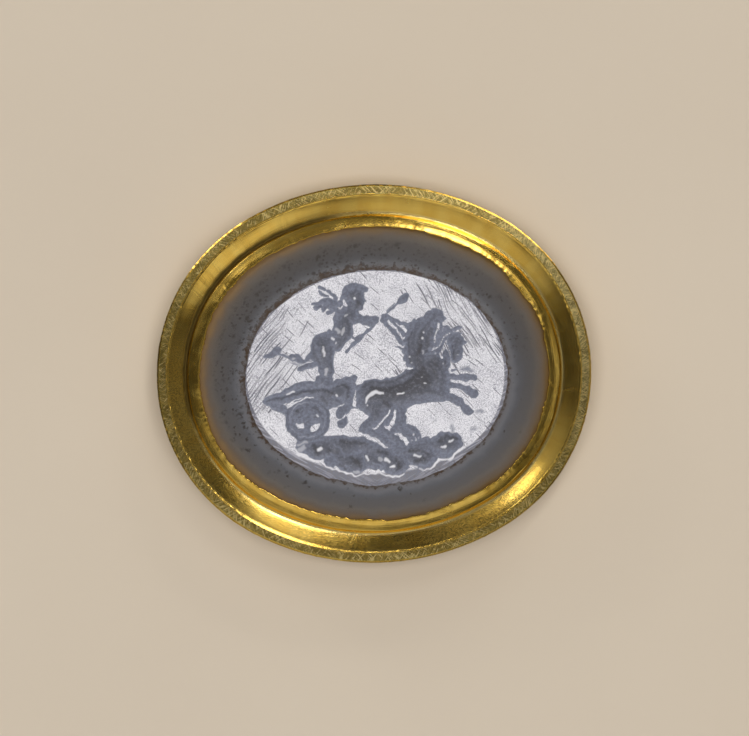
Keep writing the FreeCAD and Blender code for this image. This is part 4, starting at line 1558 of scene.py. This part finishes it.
class Relief:
    """The depth of the engraving on a fine raster over the table."""

    step = 0.0513
    cell = 0.5
    reach = (136.0, 114.0)
    tilt = math.radians(-1.62)
    shift = (0.56, -0.07)
    wall_slope = 1.3

    def __init__(self) -> None:
        """Lay out the raster, in picture steps."""
        self.along = np.arange(-self.reach[0], self.reach[0] + self.cell, self.cell)
        self.up = np.arange(-self.reach[1], self.reach[1] + self.cell, self.cell)
        self.x, self.y = np.meshgrid(self.along, self.up)
        self.bent_x, self.bent_y = self.unsteady(74), self.unsteady(75)
        self.bent_x += self.x
        self.bent_y += self.y
        self.depth = np.zeros_like(self.x)
        self.rise = np.zeros_like(self.x)
        self.shine_weights = np.zeros_like(self.x)
        self.creases = np.zeros_like(self.x)

    def unsteady(self, seed: int, size: float = 0.5) -> np.ndarray:
        """Return how far the hand strays one way, over the raster."""
        draw = np.random.default_rng(seed)
        total = np.zeros_like(self.x)
        count = 36
        for length, turn, phase in zip(
            np.geomspace(5, 26, count), draw.uniform(0, math.pi, count), draw.uniform(0, 2 * math.pi, count)
        ):
            along = self.x * math.cos(turn) + self.y * math.sin(turn)
            total += np.cos(along * 2 * math.pi / length + phase)
        return total * size * math.sqrt(2 / count)

    def smooth_path(self, steps: Pass) -> np.ndarray:
        """Return a pass as a row of closely spaced steps on a smooth curve."""
        points = np.array(steps, float).reshape(-1, 3)
        if len(points) < 3:
            return points
        ends = np.concatenate([points[:1] * 2 - points[1:2], points, points[-1:] * 2 - points[-2:-1]])
        ends[:, 2] = np.maximum(ends[:, 2], 0.1)
        row = []
        for before, begin, end, after in zip(ends, ends[1:], ends[2:], ends[3:]):
            for t in np.linspace(0, 1, 6, endpoint=False):
                row.append(
                    0.5
                    * (
                        2 * begin
                        + (end - before) * t
                        + (2 * before - 5 * begin + 4 * end - after) * t**2
                        + (3 * begin - before - 3 * end + after) * t**3
                    )
                )
        row.append(points[-1])
        path = np.array(row)
        path[:, 2] = np.maximum(path[:, 2], 0.3)
        return path

    def spans(self, steps: Pass, margin: float) -> Iterator[tuple]:
        """Walk a pass span by span.

        Args:
            steps: The pass.
            margin: How far round each span to look.

        Yields:
            The window of the raster, the distance from the axis and the half width there.
        """
        path = self.smooth_path(steps)
        if len(path) == 1:
            path = np.concatenate([path, path + (0.01, 0, 0)])
        for begin, end in zip(path, path[1:]):
            reach = max(begin[2], end[2]) + margin + 1.5
            low = np.minimum(begin[:2], end[:2]) - reach
            high = np.maximum(begin[:2], end[:2]) + reach
            columns = slice(*np.searchsorted(self.along, (low[0], high[0])))
            rows = slice(*np.searchsorted(self.up, (low[1], high[1])))
            window = (rows, columns)
            x, y = self.bent_x[window], self.bent_y[window]
            if x.size == 0:
                continue
            way = end[:2] - begin[:2]
            share = ((x - begin[0]) * way[0] + (y - begin[1]) * way[1]) / max(way @ way, 1e-9)
            share = np.clip(share, 0, 1)
            distance = np.hypot(x - begin[0] - share * way[0], y - begin[1] - share * way[1])
            yield window, distance, begin[2] + share * (end[2] - begin[2]), share, (begin, end)

    def cut(self, cut: Cut) -> None:
        """Lower the surface by a tool's passes."""
        for steps in cut.passes:
            for window, distance, width, _, _ in self.spans(steps, 0.5):
                ratio = np.clip(distance / width, 0, 1)
                depth = cut.tool.depth_share * width * (1 - ratio**cut.tool.roundness)
                self.depth[window] = np.maximum(self.depth[window], depth)

    def keep(self, keep: Keep) -> None:
        """Raise the places that the tools leave standing, with steep walls."""
        for steps in keep.passes:
            for window, distance, width, _, _ in self.spans(steps, 8.0):
                limit = np.maximum(distance - width, 0) * self.wall_slope
                self.depth[window] = np.minimum(self.depth[window], limit)

    def crease(self, crease: Crease) -> None:
        """Sink or raise soft lines."""
        for steps in crease.passes:
            line = np.zeros_like(self.depth)
            for window, distance, width, _, _ in self.spans(steps, 0.5):
                line[window] = np.maximum(line[window], 1 - np.clip(distance / width, 0, 1) ** 2)
            self.creases += crease.size * line

    def read(self, values: np.ndarray, x: float, y: float) -> float:
        """Return the raster's value at a place."""
        column = int(round((x + self.reach[0]) / self.cell))
        row = int(round((y + self.reach[1]) / self.cell))
        return float(values[np.clip(row, 0, len(self.up) - 1), np.clip(column, 0, len(self.along) - 1)])

    def shine(self, shine: Shine, base: np.ndarray) -> None:
        """Level places inside the cuts, and keep their weights for the painted highlight.

        Args:
            shine: The places.
            base: Height of the uncut table over its middle, in steps.
        """
        surface = base - self.depth + self.rise
        wanted = surface.copy()
        weight = np.zeros_like(surface)
        for steps in shine.passes:
            for window, distance, width, share, (begin, end) in self.spans(steps, 3.0):
                first = self.read(surface, begin[0], begin[1])
                last = self.read(surface, end[0], end[1])
                near = 1 - np.clip((distance / width - 0.55) / 0.75, 0, 1)
                near = near * near * (3 - 2 * near) * shine.strength
                stronger = near > weight[window]
                target = first + (last - first) * share
                wanted[window] = np.where(stronger, target, wanted[window])
                weight[window] = np.maximum(weight[window], near)
        self.rise += weight * (wanted - surface)
        self.shine_weights = np.maximum(self.shine_weights, weight)

    def softened(self, values: np.ndarray) -> np.ndarray:
        """Return values with their finest creases rubbed down."""
        padded = np.pad(values, 1, mode="edge")
        across = (padded[1:-1, :-2] + padded[1:-1, 2:]) / 2
        up = (padded[:-2, 1:-1] + padded[2:, 1:-1]) / 2
        return 0.5 * values + 0.25 * (across + up)

    def at(self, values: np.ndarray, x: np.ndarray, y: np.ndarray) -> np.ndarray:
        """Return raster values at places of the stone.

        Args:
            values: The raster's values.
            x: Places in millimetres, before the picture's tilt is taken off.
            y: The same, across.

        Returns:
            The values.
        """
        u, v = self.to_picture(x, y)
        column = np.clip((u + self.reach[0]) / self.cell, 0, len(self.along) - 1.001)
        row = np.clip((v + self.reach[1]) / self.cell, 0, len(self.up) - 1.001)
        left, below = column.astype(int), row.astype(int)
        fx, fy = column - left, row - below
        low = values[below, left] * (1 - fx) + values[below, left + 1] * fx
        high = values[below + 1, left] * (1 - fx) + values[below + 1, left + 1] * fx
        return low * (1 - fy) + high * fy

    def to_picture(self, x: np.ndarray, y: np.ndarray) -> tuple[np.ndarray, np.ndarray]:
        """Return places of the stone as picture steps."""
        cosine, sine = math.cos(self.tilt), math.sin(self.tilt)
        u = (x * cosine + y * sine) / self.step + self.shift[0]
        v = (y * cosine - x * sine) / self.step + self.shift[1]
        return u, v

    def to_stone(self) -> tuple[np.ndarray, np.ndarray]:
        """Return the raster's places on the stone, in millimetres."""
        cosine, sine = math.cos(self.tilt), math.sin(self.tilt)
        u, v = (self.x - self.shift[0]) * self.step, (self.y - self.shift[1]) * self.step
        return u * cosine - v * sine, u * sine + v * cosine


@dataclass(frozen=True)
class Stone:
    """The chalcedony: a crowned table, matt slopes, girdle and tapered back."""

    girdle: Oval
    table: Oval
    back_height: float
    table_height: float
    girdle_top: float
    girdle_band: float = 0.10
    back_taper: float = 0.32
    crown: float = 0.045
    cells: int = 288
    slope_rings: int = 18
    scratches: int = 60
    chips: tuple[Wander, ...] = (Wander(73, 4, 22, 0.022), Wander(74, 30, 200, 0.012))

    @classmethod
    def from_frame(cls) -> Stone:
        """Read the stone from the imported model."""
        low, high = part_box("gem")
        end_run, side_run, slope_rise = 2.62, 2.37, 1.30
        girdle = Oval(high.x / MM, high.y / MM)
        table = Oval(girdle.half_length - end_run, girdle.half_width - side_run, 0.10, -0.20)
        return cls(girdle, table, low.z / MM, high.z / MM, high.z / MM - slope_rise)

    def table_fall(self, x: np.ndarray, y: np.ndarray) -> np.ndarray:
        """Return how far the uncut table lies under its highest point.

        Args:
            x: Places along.
            y: Places across.

        Returns:
            The fall, from the crown and from the rounded rim, which is wider at the foot.
        """
        across, up = (x - self.table.x) / self.table.half_length, (y - self.table.y) / self.table.half_width
        crown = self.crown * (across**2 + up**2)
        inset = self.table.inset_of(x, y)
        foot = np.clip(-up, 0, 1) ** 2
        left = np.clip(-across, 0, 1) ** 3
        width = 0.10 + 0.62 * foot + 0.16 * left
        near = np.clip(1 - inset / width, 0, 1)
        return crown + near**2 * width * 0.16

    def table_rim(self, x: np.ndarray, y: np.ndarray) -> np.ndarray:
        """Return how near places lie to the table's rim, where the painted reflection fades to grey, 1 at its
        edge.
        """
        across, up = (x - self.table.x) / self.table.half_length, (y - self.table.y) / self.table.half_width
        down, left = np.clip(-up, 0, 1), np.clip(-across, 0, 1)
        right = np.clip(across, 0, 1)
        width = 0.05 + 1.07 * down**4 + 0.45 * left**1.5 * down + 0.20 * right**2 * np.clip(0.5 - up, 0, 1)
        return np.clip(1 - self.table.inset_of(x, y) / width, 0, 1)

    def engraved(self) -> tuple[Relief, np.ndarray, np.ndarray]:
        """Cut the picture.

        Returns:
            The raster, the height of its surface over the table's middle, and the depth that colours the
            cuts, which carries the creases as painted shade and painted highlight.
        """
        relief = Relief()
        x, y = relief.to_stone()
        base = -self.table_fall(x, y) / relief.step
        chariot = Chariot()
        figures = (Clouds(), chariot, Team(), Youth(), Nicks())
        for figure in figures:
            for cut in figure.of_kind(Cut):
                relief.cut(cut)
        relief.cut(Cut(Tool.BALL, chariot.rings(((20.0, 2.9), (15.6, 2.6)))))
        relief.crease(Crease(chariot.rings(((17.8, 1.1), (11.5, 0.9))), -0.8))
        relief.crease(Crease(chariot.rings(((20.6, 1.2), (14.4, 1.1))), 0.6))
        for figure in figures:
            for keep in figure.of_kind(Keep):
                relief.keep(keep)
        for figure in figures:
            for crease in figure.of_kind(Crease):
                relief.crease(crease)
        # Painted shade and painted highlight: the colour takes the creases six times as strongly as the
        # surface does, darker in furrows and lighter on ridges.
        creases = relief.creases * np.clip(relief.depth / 1.5, 0, 1)
        depth = np.maximum(relief.depth + 3.0 * creases, 0.45 * relief.depth)
        self.wear(relief)
        relief.depth = relief.softened(relief.depth + 0.5 * creases)
        for figure in figures:
            for keep in figure.of_kind(Keep):
                # Levelled keeps get the painted highlight, as shines do.
                if keep.level:
                    relief.shine(Shine(keep.passes), base)
            for shine in figure.of_kind(Shine):
                relief.shine(shine, base)
        return relief, base - relief.depth + relief.rise, depth

    def wear(self, relief: Relief) -> None:
        """Scratch the table, most of all at its left and upper right."""
        draw = np.random.default_rng(71)
        zones = (
            (0.62, (-104, 8), (16, 46), 0.88, (14, 46)),
            (0.30, (84, 44), (26, 34), -0.98, (10, 34)),
            (0.08, (0, 10), (70, 60), 0.5, (6, 16)),
        )
        for part, middle, spread, angle, lengths in zones:
            for _ in range(int(self.scratches * part)):
                x, y = draw.normal(middle, spread)
                turn = draw.normal(angle, 0.07)
                half = draw.uniform(*lengths) / 2
                width = draw.uniform(0.45, 1.1)
                way = (math.cos(turn) * half, math.sin(turn) * half)
                steps = (x - way[0], y - way[1], 0.35, x, y, width, x + way[0], y + way[1], 0.3)
                relief.cut(Cut(Tool.TOUCH, (steps,)))

    def build(self, material: bpy.types.Material) -> bpy.types.Object:
        """Make the stone."""
        relief, surface, depth = self.engraved()
        grid = np.linspace(-1, 1, self.cells + 1)
        across, up = np.meshgrid(grid, grid)
        flip = np.abs(across) < np.abs(up)
        radius = np.where(flip, up, across)
        other = np.where(flip, across, up)
        ratio = np.divide(other, radius, out=np.zeros_like(other), where=np.abs(radius) > 1e-9)
        angle = np.where(flip, math.pi / 2 - ratio * math.pi / 4, ratio * math.pi / 4)
        u, v = radius * np.cos(angle), radius * np.sin(angle)
        share = np.hypot(u, v)
        safe = np.maximum(share, 1e-9)
        edge_x, edge_y = self.table.towards(
            np.where(share > 0, u / safe * self.table.half_length, 1.0),
            np.where(share > 0, v / safe * self.table.half_width, 0.0),
        )
        even_x, even_y = u * self.table.half_length, v * self.table.half_width
        mix = share**2
        x = even_x * (1 - mix) + (edge_x - self.table.x) * share * mix
        y = even_y * (1 - mix) + (edge_y - self.table.y) * share * mix
        chipped = sum(line(np.arctan2(y, x)) for line in self.chips) * share**14
        length = np.maximum(np.hypot(x, y), 1e-9)
        x, y = (self.table.x + x * (1 + chipped / length), self.table.y + y * (1 + chipped / length))
        height = self.table_height + relief.at(surface, x, y) * relief.step
        cut_depth = relief.at(depth, x, y) / 6.5
        shine_weights = relief.at(relief.shine_weights, x, y)
        rims = self.table_rim(x, y)
        side = self.cells + 1
        table = np.stack([x.ravel(), y.ravel(), height.ravel()], 1)
        faces = []
        for row in range(self.cells):
            for column in range(self.cells):
                corner = row * side + column
                faces.append((corner, corner + 1, corner + side + 1, corner + side))
        rim = [*range(0, side), *range(2 * side - 1, side * side, side)]
        rim += [*range(side * side - 2, side * (side - 1) - 1, -1)]
        rim += [*range(side * (side - 2), 0, -side)]
        rim_points = table[rim]
        points = [table]
        shares = [np.full(len(table), 1.0)]
        depths = [np.clip(cut_depth.ravel(), 0, 1)]
        polish = [np.ones(len(table))]
        glint_spots = [shine_weights.ravel()]
        rim_shares = [rims.ravel()]
        edge = rim_points[::2, :2] - (self.table.x, self.table.y)
        outer_x, outer_y = self.girdle.towards(edge[:, 0], edge[:, 1])
        foot = np.stack([outer_x, outer_y, np.full_like(outer_x, self.girdle_top)], 1)
        count = len(foot)
        rough = np.random.default_rng(72)
        start = len(table)
        parts = [0.008, *np.linspace(0.03, 1, self.slope_rings - 1)]
        for ring, part in enumerate(parts, 1):
            row = rim_points[::2] * (1 - part) + foot * part
            row[:, 2] += 0.03 * math.sin(math.pi * part)
            if 1 < ring < self.slope_rings:
                row[:, 2] += rough.normal(0, 0.0025, count)
            points.append(row)
            shares.append(np.full(count, max(0.0, 1 - 1.165 * part)))
            depths.append(np.zeros(count))
            polish.append(np.zeros(count))
            glint_spots.append(np.zeros(count))
            rim_shares.append(np.ones(count))
        for step in range(count):
            onward = (step + 1) % count
            a, b, c = rim[2 * step], rim[(2 * step + 1) % len(rim)], rim[(2 * step + 2) % len(rim)]
            faces.append((b, a, start + step))
            faces.append((c, b, start + step, start + onward))
        lower = ((0.0, self.girdle_top - self.girdle_band), (self.back_taper, self.back_height))
        for inset, level in lower:
            pull = 1 - inset / self.girdle.half_length
            row = foot * (pull, pull, 1)
            row[:, 2] = level
            points.append(row)
            shares.append(np.zeros(count))
            depths.append(np.zeros(count))
            polish.append(np.zeros(count))
            glint_spots.append(np.zeros(count))
            rim_shares.append(np.ones(count))
        rings = self.slope_rings + len(lower)
        for ring in range(rings - 1):
            above, below = start + ring * count, start + (ring + 1) * count
            for step in range(count):
                onward = (step + 1) % count
                faces.append((above + onward, above + step, below + step, below + onward))
        last = start + (rings - 1) * count
        faces.append(tuple(range(last + count - 1, last - 1, -1)))
        values = {
            "slope_share": np.concatenate(shares),
            "cut_depth": np.concatenate(depths),
            "polish": np.concatenate(polish),
            "glint_spot": np.concatenate(glint_spots),
            "table_rim": np.concatenate(rim_shares),
        }
        return new_piece(
            "engraved_gem", np.concatenate(points), faces, material, Slot.STONE, ("gem",), values, 60.0
        )


@dataclass(frozen=True)
class Panel:
    """A soft oval light or reflector on the studio's dome, with its half sizes in degrees."""

    azimuth: float
    zenith: float
    length: float
    height: float
    radiance: float
    tint: Colour = (1.0, 0.97, 0.92, 1.0)

    @property
    def axes(self) -> tuple[Vector, Vector, Vector]:
        """The way up along the panel, the way along it and the way to it, from the stone."""
        turn = Matrix.Rotation(math.radians(self.azimuth), 3, "Z")
        return tuple((turn @ Matrix.Rotation(math.radians(self.zenith), 3, "Y")).col)


@dataclass(frozen=True)
class Studio:
    """Floor, dome, soft box and camera."""

    picture_width: float = 38.42
    camera_height: float = 400.0
    focus_height: float = 3.5
    camera_turn: float = -1.62
    aim: Point = (0.023, 0.286)
    sensor: float = 36.0
    floor_reach: float = 3000.0
    box_height: float = 900.0
    box_size: Point = (448.0, 285.0)
    box_lean: float = math.radians(-2)
    box_radiance: float = 11.6
    dome: float = 0.05
    even_share: float = 0.4
    panels: tuple[Panel, ...] = (
        Panel(66, 27, 6, 13, 7.5),
        Panel(40, 27, 7, 6, 0.9),
        Panel(66, 56.3, 15, 3.2, 8.5),
        Panel(67, 69, 16, 12, 0.85),
        Panel(56, 83, 27, 5, 4.5),
        Panel(131, 83, 11, 5, 6.5),
        Panel(131, 66, 10, 7, 5.0),
        Panel(131, 36, 7, 8, 1.2),
        Panel(247, 65, 48, 30, 0.46),
        Panel(308, 72, 32, 19, 0.66),
        Panel(132, 66, 38, 40, 0.22),
        Panel(12, 68, 34, 34, 0.10),
        Panel(256, 25, 38, 16, 0.62),
        Panel(84, 34, 20, 20, 0.10),
        Panel(352, 43, 26, 7, 0.34),
        Panel(0, 0, 26, 26, 0.16),
    )

    def floor(self) -> None:
        """Lay the plain pale floor."""
        material, sheet, shader = new_material("pale_floor")
        place = sheet.add("TexCoord").outputs["Object"]
        grain = sheet.noise(place, 60.0, 4.0)
        pale, warm = shade(214, 202, 183), shade(208, 195, 176)
        sheet.feed(shader.inputs["Base Color"], sheet.mix(grain, pale, warm))
        shader.inputs["Roughness"].default_value = 0.9
        shader.inputs["Specular IOR Level"].default_value = 0.0
        reach = self.floor_reach * MM
        mesh = bpy.data.meshes.new("floor")
        corners = [(-reach, -reach, 0), (reach, -reach, 0), (reach, reach, 0), (-reach, reach, 0)]
        mesh.from_pydata(corners, [], [(0, 1, 2, 3)])
        mesh.materials.append(material)
        floor = bpy.data.objects.new("floor", mesh)
        bpy.context.scene.collection.objects.link(floor)
        floor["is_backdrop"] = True

    def light_dome(self) -> None:
        """Light the world with its panels."""
        world = bpy.data.worlds.new("studio")
        bpy.context.scene.world = world
        world.use_nodes = True
        world.node_tree.nodes.clear()
        sheet = Sheet(world.node_tree)
        way = sheet.add("TexCoord").outputs["Generated"]
        light = (self.dome, self.dome * 0.96, self.dome * 0.9, 1.0)
        for panel in self.panels:
            high, long, facing = (sheet.vector("DOT_PRODUCT", way, axis) for axis in panel.axes)
            high = sheet.math("DIVIDE", high, math.sin(math.radians(panel.height)))
            long = sheet.math("DIVIDE", long, math.sin(math.radians(panel.length)))
            away = sheet.math("ADD", sheet.math("MULTIPLY", high, high), sheet.math("MULTIPLY", long, long))
            share = sheet.ramp(sheet.math("SQRT", away), 1.0, self.even_share, 0.0, panel.radiance)
            share = sheet.math("MULTIPLY", share, sheet.math("GREATER_THAN", facing, 0.0))
            light = sheet.mix(share, light, panel.tint, "ADD")
            light.node.clamp_factor = False
        background = sheet.add("Background", {"Color": light, "Strength": 1.0})
        end = sheet.add("OutputWorld")
        sheet.feed(end.inputs[0], background.outputs[0])

    def soft_box(self) -> None:
        """Hang the soft box over the stone."""
        data = bpy.data.lights.new("soft_box", "AREA")
        data.shape = "RECTANGLE"
        data.size, data.size_y = (size * MM for size in self.box_size)
        data.energy = self.box_radiance * math.pi * data.size * data.size_y
        data.color = (1.0, 0.985, 1.0)
        lamp = bpy.data.objects.new("soft_box", data)
        lamp.location = (0, self.box_height * math.tan(self.box_lean) * MM, self.box_height * MM)
        lamp.rotation_euler = (-self.box_lean, 0, math.radians(self.camera_turn))
        lamp.visible_camera = False
        lamp.visible_glossy = False
        bpy.context.scene.collection.objects.link(lamp)

    def camera(self) -> None:
        """Set the camera straight over the stone."""
        data = bpy.data.cameras.new("camera")
        data.sensor_width = self.sensor
        distance = self.camera_height - self.focus_height
        data.lens = self.sensor * distance / self.picture_width
        data.clip_start = 0.01
        camera = bpy.data.objects.new("camera", data)
        turn = math.radians(self.camera_turn)
        x = self.aim[0] * math.cos(turn) - self.aim[1] * math.sin(turn)
        y = self.aim[0] * math.sin(turn) + self.aim[1] * math.cos(turn)
        camera.location = (x * MM, y * MM, self.camera_height * MM)
        camera.rotation_euler = (0, 0, turn)
        bpy.context.scene.collection.objects.link(camera)
        bpy.context.scene.camera = camera

    def build(self) -> None:
        """Set up the studio."""
        self.floor()
        self.light_dome()
        self.soft_box()
        self.camera()
        bpy.context.scene.view_settings.view_transform = "Standard"


def dress_nodes(gold: bpy.types.Material, solder: bpy.types.Material, bedding: bpy.types.Material) -> None:
    """Give the nodes that stay as they are their finishes.

    Args:
        gold: For the floor plate and the bearer.
        solder: For the seam under the wall.
        bedding: For the compound.
    """
    finishes = {
        "back_plate": (gold, Slot.GOLD),
        "bearer_ring": (gold, Slot.GOLD),
        "back_solder": (solder, Slot.SOLDER),
        "bedding": (bedding, Slot.BEDDING),
    }
    for name, (material, slot) in finishes.items():
        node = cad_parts[name]
        node.data.materials.clear()
        node.data.materials.append(material)
        LOG.info("%s: dressed", name)


def main() -> None:
    """Build the object and its studio."""
    logging.basicConfig(level=logging.INFO, format="%(message)s")
    setting = Setting.from_frame()
    gold = GoldFinish("ring_gold").material()
    plate_gold = GoldFinish("plate_gold", Place.FLAT).material()
    seam_tones = {
        "bright": (0.86, 0.58, 0.14, 1.0),
        "ridge": (0.78, 0.55, 0.16, 1.0),
        "groove_shade": (0.20, 0.14, 0.04, 1.0),
    }
    seam_gold = GoldFinish("seam_gold", **seam_tones).material()
    solder = SolderFinish().material()
    SideWall(setting).build("filed_side_wall", gold, Slot.GOLD, "side_wall")
    RimSeam(setting).build("rim_seam", seam_gold, Slot.SOLDER, "rim_solder")
    HollowFrame(setting).build("hollow_frame", gold, Slot.GOLD, "cavetto_frame")
    ValleySeam(setting).build("valley_seam", seam_gold, Slot.SOLDER, "collar_solder")
    Collar(setting).build("burnished_collar", gold, Slot.GOLD, "bezel_collar")
    Stone.from_frame().build(ChalcedonyFinish().material())
    dress_nodes(plate_gold, solder, BeddingFinish().material())
    Studio().build()
    boxes = {"cad": CAD_BOX, "visual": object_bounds()}
    {name: [list(corner) for corner in box] for name, box in boxes.items()}


if __name__ == "__main__":
    main()
